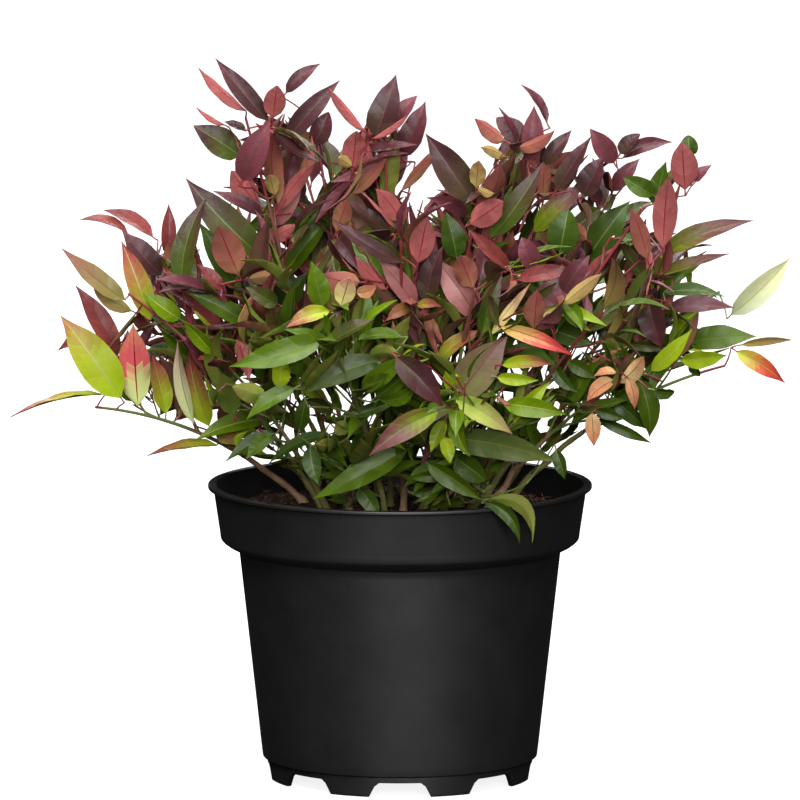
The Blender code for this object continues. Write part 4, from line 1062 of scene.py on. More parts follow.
def as_arrays(leaves):
    return {name: np.array([getattr(leaf, name) for leaf in leaves], dtype=np.float64)
            for name in LEAF_FIELDS}


# A coarse stand-in for a blade, with which leaves are kept apart.
PROXY_ROWS = np.array((0.0, 0.30, 0.62, 1.0))
PROXY_COLUMNS = np.array((-1.0, 0.0, 1.0))
PROXY_FACES = [(row * 3 + column, row * 3 + column + 3, row * 3 + column + 4, row * 3 + column + 1)
               for row in range(3) for column in range(2)]
PROXY_RIM = (0, 3, 6, 9, 10, 11, 8, 5, 2, 1)


def proxy_points(leaf, start=0.0):
    rows = start + (1.0 - start) * PROXY_ROWS
    return leaf_points(as_arrays([leaf]), rows, PROXY_COLUMNS)[0].reshape(-1, 3)


class Body:
    """Something that leaves keep clear of."""

    def __init__(self, points, faces):
        points = np.asarray(points, dtype=np.float64).reshape(-1, 3)
        self.low, self.high = points.min(axis=0), points.max(axis=0)
        self.tree = BVHTree.FromPolygons(points.tolist(), faces)


class Crowd:
    """The bodies placed so far, found by the cell of space that they are in."""

    CELL = 30 * MM

    def __init__(self):
        self.cells = {}

    def keys(self, body):
        low = np.floor(body.low / self.CELL).astype(int)
        high = np.floor(body.high / self.CELL).astype(int)
        return itertools.product(*(range(a, b + 1) for a, b in zip(low, high)))

    def add(self, body):
        for key in self.keys(body):
            self.cells.setdefault(key, []).append(body)

    def touches(self, body):
        near = {id(other): other for key in self.keys(body) for other in self.cells.get(key, ())}
        return any(np.all(body.low <= other.high) and np.all(other.low <= body.high)
                   and body.tree.overlap(other.tree) for other in near.values())


def inside_crown(points, hangs):
    """Within the crown's reach, and above its underside; a hanging shoot passes the lip."""
    radius = np.hypot(points[:, 0], points[:, 1])
    distances, heights = np.array(UNDERSIDE).T * MM
    beyond = LIP_TOP - HANG_BELOW_LIP if hangs else np.interp(radius, distances, heights)
    lowest = np.where(radius > LIP_RADIUS, beyond, SOIL_TOP + SOIL_CLEARANCE)
    return bool(np.all(np.abs(points[:, 0]) < CROWN_HALF_WIDTH)
                and np.all(np.abs(points[:, 1]) < CROWN_HALF_DEPTH)
                and np.all(points[:, 2] < CROWN_TOP)
                and np.all(points[:, 2] > lowest))


class Twig:
    """A stem with leaves: its path, thickness, how far up the shoot it starts, 0 to 1, and its parent."""

    def __init__(self, path, radii, age, order, parent=None, place=0.0, scale=1.0):
        self.path, self.radii, self.age, self.order = path, radii, age, order
        self.parent, self.place, self.scale = parent, place, scale
        self.nodes, self.held = [], []
        self.end = path.length

    def radius_at(self, distance):
        return self.radii[0] + (self.radii[1] - self.radii[0]) * distance / self.path.length


class Plant:
    """The twigs and leaves of every shoot, and the bodies and lines of sight that leaves keep out of."""

    def __init__(self):
        self.twigs = {shoot.name: [] for shoot in SHOOTS}
        self.leaves = {shoot.name: [] for shoot in SHOOTS}
        self.stem_trees = {}
        self.crowd, self.sight, self.placed = Crowd(), Crowd(), Crowd()


def shoot_path(shoot):
    """A shoot from the peat to its first tip."""
    foot = Vector((shoot.foot[0] * MM, shoot.foot[1] * MM, SOIL_TOP + GAP))
    return Path(arching(foot, Vector(shoot.tips[0]) * MM, shoot.arch))


def cane_path(shoot):
    """The bare foot of a shoot."""
    whole = shoot_path(shoot)
    return Path(whole.piece(0.0, whole.length * shoot.bare, 21))


def side_path(stem, distance, turn, length):
    """A side twig that leaves a stem at an angle and bends up."""
    start, ahead = stem.at(distance)
    outward = radial(ahead, turn)
    way = ahead * math.cos(SIDE_TWIG_ANGLE) + outward * math.sin(SIDE_TWIG_ANGLE)
    lifted = (way + UP * SIDE_TWIG_LIFT).normalized()
    middle = start + way * length / 2
    end = middle + lifted * length / 2
    return Path(bezier(start, start.lerp(middle, HANDLE_SHARE), middle, end, 9))


def twig_body(twig):
    """A twig as a tube of four sides, which leaves keep clear of."""
    count = max(3, int(twig.path.length / (12 * MM)))
    points = twig.path.piece(0.0, twig.path.length, count)
    radii = [twig.radius_at(twig.path.length * index / (count - 1)) for index in range(count)]
    corners, faces = tube_arrays(points, radii, 4)
    return Body(corners, [face if face[2] != face[3] else face[:3] for face in faces])


def grow_twigs(plant, seed, shoot):
    """Leader, forks, side twigs and finer twigs of a shoot."""
    chance = random.Random(seed)
    whole = shoot_path(shoot)
    bare = whole.length * shoot.bare
    tip_leaf = LEAF_LENGTH * TIP_LEAF_SHARE
    leader = Twig(Path(whole.piece(bare + GAP, whole.length - tip_leaf, 25)), STEM_RADII, 0.0, 0)
    twigs = plant.twigs[shoot.name]
    twigs.append(leader)
    for number, tip in enumerate(shoot.tips[1:], start=1):
        tip = Vector(tip) * MM
        start, ahead = whole.at(bare + (whole.length - bare) * FORK_SHARE * number)
        chord = tip - start
        curve = Path(bezier(start, start + ahead * chord.length * HANDLE_SHARE,
                            tip - chord * HANDLE_SHARE, tip, PATH_POINTS))
        fork = Path(curve.piece(0.0, curve.length - tip_leaf, 21))
        place = (whole.length - bare) * FORK_SHARE * number - GAP
        twigs.append(Twig(fork, FORK_RADII, FORK_AGE, 0, leader, place))
    turn = chance.uniform(0.0, FULL_TURN)

    def sprout(stem, share, reach, radii, age, order, fade=1.0):
        """A side twig in the next place round its stem, where it stays within the crown."""
        nonlocal turn
        turn += GOLDEN_ANGLE
        length = shoot.reach * MM * chance.uniform(*reach) * fade
        distance = stem.path.length * share
        side = side_path(stem.path, distance, turn, length)
        if inside_crown(np.array(side.points), shoot.droop > 0):
            twigs.append(Twig(side, radii, age, order, stem, distance))

    for share in SIDE_TWIG_PLACES:
        sprout(leader, share, SIDE_TWIG_REACH, SIDE_RADII, SIDE_AGE + AGE_SPAN * share, 1,
               1.0 - SIDE_TWIG_FADE * share)
    for stem in twigs[1:]:
        if stem.order == 0:
            for share in FORK_TWIG_PLACES:
                sprout(stem, share, FINE_TWIG_REACH, FINE_RADII, FINE_AGE + AGE_SPAN * share, 2)
        if stem.order == 1:
            age = min(1.0, stem.age + FINE_AGE)
            sprout(stem, FINE_TWIG_PLACE, FINE_TWIG_REACH, FINE_RADII, age, 2)
    cane = cane_path(shoot)
    for share in BASAL_PLACES:
        turn += GOLDEN_ANGLE
        basal = side_path(cane, cane.length * share, turn, chance.uniform(*BASAL_LENGTH))
        if inside_crown(np.array(basal.points[3:]), shoot.droop > 0):
            twigs.append(Twig(basal, FINE_RADII, 0.0, 2, scale=BASAL_SCALE))


def trim_twigs(plant):
    """Cut each twig off at its last leaf or side twig, and drop the ones that carry nothing."""
    for shoot in SHOOTS:
        kept = []
        for twig in reversed(plant.twigs[shoot.name]):
            carried = twig.nodes + twig.held
            if not carried:
                continue
            twig.end = min(twig.path.length, max(carried) + 1.0 * MM)
            if twig.parent is not None:
                twig.parent.held.append(twig.place)
            kept.append(twig)
        plant.twigs[shoot.name] = kept[::-1]


def plant_stem_trees(plant):
    """For each shoot, its leader and forks as a tree of places, to measure how far leaves reach."""
    for shoot in SHOOTS:
        places = [place for twig in plant.twigs[shoot.name] if twig.order == 0
                  for place in twig.path.piece(0.0, twig.path.length, 40)]
        tree = KDTree(len(places))
        for index, place in enumerate(places):
            tree.insert(place, index)
        tree.balance()
        plant.stem_trees[shoot.name] = tree


def dress_for(chance, spray, age, height):
    """Old leaves low on the shoot are green, young ones high up take the spray's tints."""
    stage = age + STAGE_RISE * (height - STAGE_HEIGHT) + chance.uniform(-STAGE_SPREAD, STAGE_SPREAD)
    weights = SPRAYS[spray][0 if stage < STAGES[0] else 1 if stage < STAGES[1] else 2]
    names = sorted(weights)
    return chance.choices(names, [weights[name] for name in names])[0]


def make_leaf(chance, place, ahead, turn, angle, length, dress, droop):
    """A leaf at a place on its stem, turned round the stem and leaning out from it by an angle."""
    outward = radial(ahead, turn)
    way = ahead * math.cos(angle) + outward * math.sin(angle)
    way = (way - UP * droop).normalized()
    upper = ahead * math.sin(angle) - outward * math.cos(angle) + UP * LEAF_FACING
    upper = (upper - way * upper.dot(way)).normalized()
    upper = Matrix.Rotation(chance.gauss(0.0, 0.35), 3, way) @ upper
    slim = chance.uniform(0.86, 1.12)
    return Leaf(base=place + way * PETIOLE, ahead=way, across=upper.cross(way), upper=upper, length=length,
                width=length * slim * LEAF_WIDTH / LEAF_LENGTH,
                bend=chance.choice((1, 1, 1, -0.5)) * chance.uniform(0.25, 1.0) + 0.013,
                fold=chance.uniform(0.18, 0.62), twist=chance.gauss(0.0, 0.30), sway=chance.gauss(0.0, 0.07),
                wave=chance.uniform(0.02, 0.10), phase=chance.uniform(0.0, 6.28),
                blunt=chance.uniform(0.0, 0.22), dress=dress, start=chance.uniform(-0.10, 0.12),
                end=chance.uniform(0.85, 1.1), root=place, bud=chance.random() < BUD_SHARE)


def leaf_spots(twig, chance):
    """Where leaves grow along a twig: distance, turn, angle, length and age."""
    step = LEAF_STEP * (FINE_STEP if twig.order == 2 else 1.0) * (0.5 + 0.5 * twig.scale)
    count = max(2, int(twig.path.length / step))
    turn = chance.uniform(0.0, FULL_TURN)
    spots = []
    for index in range(count):
        share = (index + chance.uniform(*LEAF_PLACES)) / count
        age = min(1.0, twig.age + (1.0 - twig.age) * share)
        turn += math.pi * chance.uniform(*LEAF_HALF_TURNS)
        angle = math.radians(LEAF_ANGLE - LEAF_ANGLE_FALL * share)
        angle += chance.gauss(0.0, LEAF_ANGLE_SPREAD)
        length = LEAF_LENGTH * twig.scale * (LEAF_SIZE - LEAF_SIZE_FALL * age ** 2)
        length *= chance.uniform(*LEAF_SIZES)
        spots.append((twig.path.length * share, turn, angle, length, age))
    for index in range(END_LEAVES):
        turn += GOLDEN_ANGLE
        angle = math.radians(END_ANGLE + END_ANGLE_STEP * index)
        length = LEAF_LENGTH * twig.scale * chance.uniform(*END_SIZES)
        length *= FIRST_END_SIZE if index == 0 else 1.0
        age = 1.0 if twig.scale == 1.0 else 0.0
        spots.append((twig.path.length - END_STEP * (index + 0.2), turn, angle, length, age))
    return spots


def grow_leaves(plant):
    """Deal leaves out to the shoots in turn, and leave out one that would cut through another."""
    waiting = []
    for seed, shoot in enumerate(SHOOTS, start=101):
        chance = random.Random(seed)
        for twig in plant.twigs[shoot.name]:
            for order, spot in enumerate(reversed(leaf_spots(twig, chance))):
                waiting.append((order + twig.order * 0.3, chance.random(), shoot, twig, spot))
    waiting.sort(key=lambda entry: entry[:2])
    for _, mark, shoot, twig, (distance, turn, angle, length, age) in waiting:
        chance = random.Random(int(mark * 1e9))
        place, ahead = twig.path.at(distance)
        dress = dress_for(chance, shoot.spray, age, place.z)
        for attempt, shift in enumerate(TRIAL_TURNS):
            leaf = make_leaf(chance, place, ahead, turn + shift, angle, length * (1 - TRIAL_SHRINK * attempt),
                             dress, shoot.droop)
            points = proxy_points(leaf)
            if not inside_crown(points, shoot.droop > 0):
                continue
            if plant.stem_trees[shoot.name].find(points[-2])[2] > shoot.reach * MM * REACH_SHARE:
                continue
            if against_sky(points):
                continue
            body = Body(proxy_points(leaf, PROXY_START), PROXY_FACES)
            if plant.sight.touches(body) or plant.crowd.touches(body):
                continue
            plant.crowd.add(body)
            plant.leaves[shoot.name].append(leaf)
            twig.nodes.append(distance)
            break


# The leaves that show best, each on its own shoot.
def nearest_stem(twigs, pixel):
    """The place on a shoot's stems that the photograph shows nearest to a pixel."""
    places = [place for twig in twigs if twig.order <= 1
              for place in twig.path.piece(0.0, twig.path.length, STEM_STEPS)]
    return min(places, key=lambda place: math.dist(pixel_of(place), pixel))


def turned_to_camera(seen, foot, tip, chance):
    """A leaf from its foot to its tip, with the side that shows turned to the camera."""
    way = tip - foot
    length = way.length
    way.normalize()
    view = (CAMERA_PLACE - foot).normalized()
    upper = (view - way * view.dot(way)).normalized()
    if seen.dress.startswith("under "):
        upper = -upper
    upper = Matrix.Rotation(math.radians(seen.roll), 3, way) @ upper
    width = seen.width * MM
    low, high = BLUNT_RANGE
    blunt = min(high, max(low, (width / length - BLUNT_START) / BLUNT_SPAN))
    return Leaf(base=foot, ahead=way, across=upper.cross(way), upper=upper, length=length, width=width,
                bend=chance.uniform(0.30, 0.95), fold=chance.uniform(0.22, 0.56),
                twist=chance.gauss(0.0, 0.22), sway=seen.bow, wave=chance.uniform(0.03, 0.10),
                phase=chance.uniform(0.0, 6.28), blunt=blunt,
                dress=seen.dress.removeprefix("under "), start=0.0, end=1.0, root=foot)


def sight_body(leaf):
    """The space between a placed leaf and the camera, which other leaves keep out of."""
    near = proxy_points(leaf, SIGHT_PROXY_START)
    near = near * SIGHT_SHARES[0] + near.mean(axis=0) * SIGHT_SHARES[1]
    toward = np.array((CAMERA_PLACE - leaf.base).normalized()) * SIGHT_LENGTH
    points = np.concatenate([near + toward * share
                             for share in np.linspace(SIGHT_START, 1.0, SIGHT_LAYERS)])
    count = len(near)
    last = count * (SIGHT_LAYERS - 1)
    faces = [tuple(corner + count * layer for corner in face)
             for layer in range(SIGHT_LAYERS) for face in PROXY_FACES]
    faces += [(a, b, b + last, a + last) for a, b in zip(PROXY_RIM, PROXY_RIM[1:] + PROXY_RIM[:1])]
    return Body(points, faces)


def twiglet_to(twigs, leaf):
    """Join a placed leaf to its shoot: by its stalk, or by a thin twig where it stands further off."""
    places = []
    for twig in twigs:
        for index in range(STEM_STEPS + 1):
            distance = twig.path.length * index / STEM_STEPS
            place, ahead = twig.path.at(distance)
            places.append(((place - leaf.base).length, place, ahead, twig, distance))
    off, place, ahead, twig, distance = min(places, key=lambda entry: entry[0])
    if off < STALK_REACH:
        twig.held.append(distance)
        return leaf._replace(root=place)
    end = leaf.base - leaf.ahead * PETIOLE * 0.8
    behind = (end - CAMERA_PLACE).normalized()
    middle = place.lerp(end, 0.5) + ahead * off * TWIGLET_AHEAD + behind * min(off * TWIGLET_BACK, BEHIND)
    path = Path(bezier(place, place.lerp(middle, TWIGLET_HANDLE), end.lerp(middle, TWIGLET_HANDLE), end, 9))
    twiglet = Twig(path, FINE_RADII, 1.0, 3, twig, distance)
    twiglet.held.append(path.length)
    twigs.append(twiglet)
    return leaf._replace(root=end)


def place_seen_leaves(plant):
    """Each leaf that shows best, moved back from its stem until it is clear of the others."""
    chance = random.Random(404)
    for shoot_name, rows in SEEN:
        twigs = plant.twigs[shoot_name]
        for seen in (Seen(*row) for row in rows):
            foot_pixel = (seen.foot_x, seen.foot_y)
            stem = nearest_stem(twigs, foot_pixel)
            for attempt in range(SEEN_TRIALS):
                depth = stem.y + (seen.ahead + SEEN_TRIAL_STEP * attempt) * MM
                foot = seen_at(foot_pixel, depth)
                tip = seen_at((seen.tip_x, seen.tip_y), depth - seen.lean * MM)
                leaf = turned_to_camera(seen, foot, tip, chance)
                body = Body(proxy_points(leaf, PROXY_START), PROXY_FACES)
                if not plant.placed.touches(body):
                    break
            plant.placed.add(body)
            plant.crowd.add(body)
            plant.sight.add(sight_body(leaf))
            plant.leaves[shoot_name].append(twiglet_to(twigs, leaf))


def against_sky(points):
    """Whether a leaf would cover a place where the photograph shows sky."""
    shown = np.array([pixel_of(point) for point in points])
    if not all(inside_edge(x, y) for x, y in shown):
        return True
    low, high = shown.min(axis=0), shown.max(axis=0)
    for *centre, radius in SKY:
        centre = np.array(centre, dtype=float)
        if np.all(centre > low - radius) and np.all(centre < high + radius):
            if any(near_quad(shown[list(face)], centre, radius) for face in PROXY_FACES):
                return True
    return False


def near_quad(corners, centre, radius):
    """Whether a disc meets a quad in the picture: its middle lies inside, or a side passes near."""
    along = np.roll(corners, -1, axis=0) - corners
    away = centre - corners
    turns = along[:, 0] * away[:, 1] - along[:, 1] * away[:, 0]
    if np.all(turns > 0) or np.all(turns < 0):
        return True
    share = np.clip((away * along).sum(axis=1) / np.maximum((along ** 2).sum(axis=1), 1e-9), 0.0, 1.0)
    off = away - along * share[:, None]
    return bool(np.hypot(off[:, 0], off[:, 1]).min() < radius)


def inside_edge(x, y):
    """Whether a pixel lies within the crown's edge: an odd count of its sides pass to the right."""
    first = np.array(CROWN_EDGE, dtype=float)
    second = np.roll(first, -1, axis=0)
    spans = (first[:, 1] > y) != (second[:, 1] > y)
    (x1, y1), (x2, y2) = first[spans].T, second[spans].T
    cross = x1 + (y - y1) * (x2 - x1) / (y2 - y1)
    return int((cross > x).sum()) % 2 == 1


def blade_faces(row_count, column_count):
    """The faces of one thin closed blade, and the row, column and side from which each takes its tint."""
    sheet = row_count * column_count
    faces, marks = [], []

    def add(corners, row, column, below=0, turn=False):
        """A face from its corners' rows, columns and sides; turn reverses it."""
        quad = [side * sheet + r * column_count + c for r, c, side in corners]
        faces.append(quad[::-1] if turn else quad)
        marks.append((min(row, row_count - 2), min(column, column_count - 2), below))

    for row in range(row_count - 1):
        for column in range(column_count - 1):
            next_row, after = row + 1, column + 1
            add([(row, column, 0), (next_row, column, 0), (next_row, after, 0), (row, after, 0)], row, column)
            add([(next_row, after, 1), (next_row, column, 1), (row, column, 1), (row, after, 1)],
                row, column, 1)
    for row in range(row_count - 1):
        for column, turn in ((0, False), (column_count - 1, True)):
            add([(row, column, 0), (row, column, 1), (row + 1, column, 1), (row + 1, column, 0)],
                row, column, 0, turn)
    for column in range(column_count - 1):
        for row, turn in ((0, True), (row_count - 1, False)):
            add([(row, column, 0), (row, column, 1), (row, column + 1, 1), (row, column + 1, 0)],
                row, column, 0, turn)
    return np.array(faces), np.array(marks).T


def leaf_mesh(name, leaves, materials, seed):
    """All leaves of a region as one mesh of thin closed blades, with sunk ribs and side veins."""
    rows, kinds, columns = rows_and_columns()
    arrays = as_arrays(leaves)
    row_count = len(rows)
    on_vein = np.zeros(row_count)
    on_vein[:-1][kinds == 1] = 1.0
    on_vein[1:][kinds == 1] = 1.0
    in_panel = 1.0 - on_vein
    in_panel[[0, -3, -2, -1]] = 0.0
    rib = (np.abs(columns) <= RIB_HALF_SHARE).astype(float)
    inner = (1.0 - rib) * (np.abs(columns) <= 0.99)
    relief = (in_panel[:, None] - on_vein[:, None]) * VEIN_DEPTH * inner[None, :]
    relief = relief - rib[None, :] * RIB_DEPTH * np.linspace(1.0, 0.15, row_count)[:, None]
    upper = leaf_points(arrays, rows, columns, LEAF_THICK / 2, relief)
    lower = leaf_points(arrays, rows, columns, -LEAF_THICK / 2, relief - rib[None, :] * UNDER_RIB_DEPTH)
    points = np.stack((upper, lower), axis=1).reshape(len(leaves), -1, 3)
    faces, marks = blade_faces(row_count, len(columns))
    all_faces = (faces[None] + (np.arange(len(leaves)) * points.shape[1])[:, None, None]).reshape(-1, 4)
    shown, tint = np.unique(face_tints(leaves, rows, kinds, columns, *marks, seed), return_inverse=True)
    return mesh_object(name, points, all_faces, [materials[index] for index in shown], tint.ravel(), 60)


def face_tints(leaves, rows, kinds, columns, face_row, face_column, face_side, seed):
    """Each face's material: a step of the leaf's ramp, its midrib, or its underside."""
    chance = np.random.default_rng(seed)
    middle = (rows[face_row] + rows[face_row + 1]) / 2
    away = (columns[face_column] + columns[face_column + 1]) / 2
    is_rib = np.abs(away) < RIB_HALF_SHARE
    is_vein = kinds[face_row] == 1
    below = face_side == 1
    tints = np.zeros((len(leaves), len(face_row)), dtype=np.int32)
    for index, leaf in enumerate(leaves):
        dress = DRESSES[leaf.dress]
        cloud = CLOUD * np.sin(CLOUD_ALONG * middle + CLOUD_ACROSS * away + leaf.phase)
        cloud = cloud + chance.normal(0.0, TINT_GRAIN, len(middle))
        along = middle ** TINT_CURVE * leaf.end + leaf.start + cloud + EDGE_TINT * np.abs(away) - TINT_START
        shift = chance.normal(0.0, TINT_SPREAD)
        sides = ((~below, dress.ramp, dress.foot, dress.tip, dress.rib),
                 (below, dress.under, dress.under_foot, dress.under_tip, dress.under_rib))
        for side, ramp, foot, tip, rib in sides:
            steps = RAMPS[ramp][0] - 1
            place = foot + (tip - foot) * np.clip(along, 0.0, 1.0) + shift + cloud * CLOUD_SHARE
            place = place + UNDER_VEIN_TINT * (below & is_vein)
            place = place + VEIN_TINTS.get(ramp, 0.0) * (~below & is_vein)
            step = np.clip(np.rint(place * steps), 0, steps).astype(int)
            tints[index, side] = TINT_STARTS[ramp] + step[side]
            tints[index, side & is_rib] = TINT_STARTS[rib]
    return tints


# Stems, stalks and buds.
def stem_tint(twig, distance, spray):
    """Old wood is brown, then olive or dull red, and the young ends are green or crimson."""
    age = twig.age + (1.0 - twig.age) * distance / twig.path.length
    if age < WOOD_AGE:
        return 0
    if spray in GREEN_SPRAYS:
        return 1 if age < GREEN_AGE or spray == "green" else 3
    return 1 if age < OLIVE_AGE else 2 if age < DULL_AGE else 3


def twig_mesh(name, shoots, plant, materials):
    """Stems with a small swelling at each joint, tinted from their foot to their end."""
    gather = Gather()
    for shoot in shoots:
        for twig in plant.twigs[shoot.name]:
            joints = set(twig.nodes)
            distances = sorted({0.0, twig.end} | {distance for distance in joints if distance < twig.end})
            filled = []
            for first, second in zip(distances, distances[1:]):
                parts = max(1, int((second - first) / TWIG_RING_STEP))
                filled += [first + (second - first) * part / parts for part in range(parts)]
            filled.append(twig.end)
            points = [twig.path.at(distance)[0] for distance in filled]
            radii = [twig.radius_at(distance) * (JOINT_SWELL if distance in joints else 1.0)
                     for distance in filled]
            kinds = [stem_tint(twig, distance, shoot.spray) for distance in filled[:-1]]
            sides = 7 if twig.order == 0 else 6
            gather.add(*tube_arrays(points, radii, sides), ([kinds[0], kinds[-1]] + kinds) * sides)
    return gather.object(name, materials, 50)


def petiole_mesh(name, shoots, plant, materials):
    """Leaf stalks from the stem's middle to the foot of each blade, and a pointed bud in some joints."""
    gather = Gather()
    for leaf in (leaf for shoot in shoots for leaf in plant.leaves[shoot.name]):
        blade = leaf.base + leaf.ahead * STALK_IN_BLADE * MM
        stalk = leaf.base - leaf.root
        bend = leaf.root + stalk * STALK_BEND[0] - leaf.upper * STALK_BEND[1] * stalk.length
        kind = 1 if leaf.dress in GREEN_STALKED else 0
        gather.add(*tube_arrays([leaf.root, bend, leaf.base, blade], STALK_RADII, 5), kind)
        if leaf.bud:
            way = (leaf.ahead + leaf.upper * BUD_SLANT).normalized()
            foot = leaf.root + stalk * BUD_PLACE + leaf.upper * BUD_LIFT * MM
            points = [foot] + [foot + way * far * MM for far in BUD_RINGS]
            gather.add(*tube_arrays(points, BUD_RADII, 5), 2)
    return gather.object(name, materials, 60)


def solid_body(name):
    """A solid of the part, as something that leaves keep clear of."""
    mesh = frame["nodes"][name].data
    return Body([tuple(vertex.co) for vertex in mesh.vertices],
                [tuple(polygon.vertices) for polygon in mesh.polygons])


def grow_plant():
    """Twigs first, then the leaves placed by the photograph, then the leaves that grow by rule."""
    plant = Plant()
    plant.crowd.add(solid_body("pot"))
    for seed, shoot in enumerate(SHOOTS, start=1):
        grow_twigs(plant, seed, shoot)
    place_seen_leaves(plant)
    for shoot in SHOOTS:
        for twig in [Twig(cane_path(shoot), CANE_RADII, 0.0, 0)] + plant.twigs[shoot.name]:
            plant.crowd.add(twig_body(twig))
    plant_stem_trees(plant)
    grow_leaves(plant)
    trim_twigs(plant)
    return plant


def make_foliage():
    """Twigs, leaf stalks and leaves of every shoot, joined by region and kind."""
    plant = grow_plant()
    leaf_materials = [leaf_material(name) for name in TINTS]
    wood = bark_material("stem_brown", (0.13, 0.080, 0.042), (0.25, 0.165, 0.085), 260.0)
    green = stem_material("stem_green", (0.13, 0.16, 0.040))
    dull = stem_material("stem_dull_red", (0.17, 0.060, 0.040))
    red = stem_material("stem_red", (0.22, 0.026, 0.032))
    bud = stem_material("bud", (0.72, 0.58, 0.28))
    for number, region in enumerate(REGIONS):
        shoots = [shoot for shoot in SHOOTS if shoot.region == region]
        nodes = ["foliage_" + shoot.name for shoot in shoots]
        leaves = [leaf for shoot in shoots for leaf in plant.leaves[shoot.name]]
        blades = leaf_mesh("leaves_" + region, leaves, leaf_materials, 500 + number)
        stems = twig_mesh("twigs_" + region, shoots, plant, (wood, green, dull, red))
        stalks = petiole_mesh("stalks_" + region, shoots, plant, (red, green, bud))
        tint = "green_leaves" if region in GREEN_REGIONS else "burgundy_leaves"
        for piece, slot in ((blades, tint), (stems, "bark"), (stalks, "bark")):
            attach(piece, "root")
            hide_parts(*nodes)


def make_canes():
    """Bare canes with knobbly bark: rings of old leaf scars, ridges and a flare at the peat."""
    gather = Gather()
    chance = random.Random(77)
    foot_radius, tip_radius = CANE_RADII
    for shoot in SHOOTS:
        path = cane_path(shoot)
        count = max(12, int(path.length / CANE_RING_STEP))
        points = path.piece(0.0, path.length, count)
        way = Vector((math.cos(chance.uniform(0.0, 6.28)), math.sin(chance.uniform(0.0, 6.28)), 0.0))
        waves = chance.uniform(*CANE_WAVES)
        for index, point in enumerate(points):
            share = index / (count - 1)
            bent = math.sin(FULL_TURN * waves * share) * math.sin(math.pi * share)
            points[index] = point + way * CANE_SWAY * bent
        scar = chance.uniform(0.0, 1.0)
        ridge = [chance.uniform(-CANE_RIDGE, CANE_RIDGE) for _ in range(CANE_SIDES)]
        radii, roundness = [], []
        for index in range(count):
            distance = path.length * index / (count - 1)
            radius = foot_radius + (tip_radius - foot_radius) * (distance / path.length)
            radius += (CANE_FLARE_RADIUS - foot_radius) * math.exp(-distance / CANE_FLARE_REACH)
            joint = math.cos(FULL_TURN * (distance / SCAR_STEP + scar))
            radii.append(radius * (1.0 + SCAR_SWELL * max(0.0, joint) ** 6))
            roundness.append(np.array([1.0 + swell + chance.uniform(-CANE_GRAIN, CANE_GRAIN)
                                       for swell in ridge]))
        gather.add(*tube_arrays(points, radii, CANE_SIDES, True, roundness), chance.choice((0, 1, 2, 2)))
    brown = bark_material("cane_brown", (0.11, 0.070, 0.038), (0.27, 0.19, 0.10))
    tan = bark_material("cane_tan", (0.22, 0.12, 0.070), (0.42, 0.25, 0.15))
    olive = bark_material("cane_olive", (0.11, 0.110, 0.028), (0.25, 0.24, 0.070))
    canes = gather.object("canes", (brown, tan, olive), 60)
    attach(canes, "root")
    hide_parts(*["cane_" + shoot.name for shoot in SHOOTS])


# Pot.
def arc(centre, radius, start_degrees, end_degrees, count):
    """Places along an arc, with both its ends."""
    points = []
    for index in range(count):
        angle = math.radians(start_degrees + (end_degrees - start_degrees) * index / (count - 1))
        points.append((centre[0] + radius * math.cos(angle), centre[1] + radius * math.sin(angle)))
    return points


def straight(first, second, count):
    """Places along a line, without its end."""
    return [tuple(a + (b - a) * index / count for a, b in zip(first, second)) for index in range(count)]


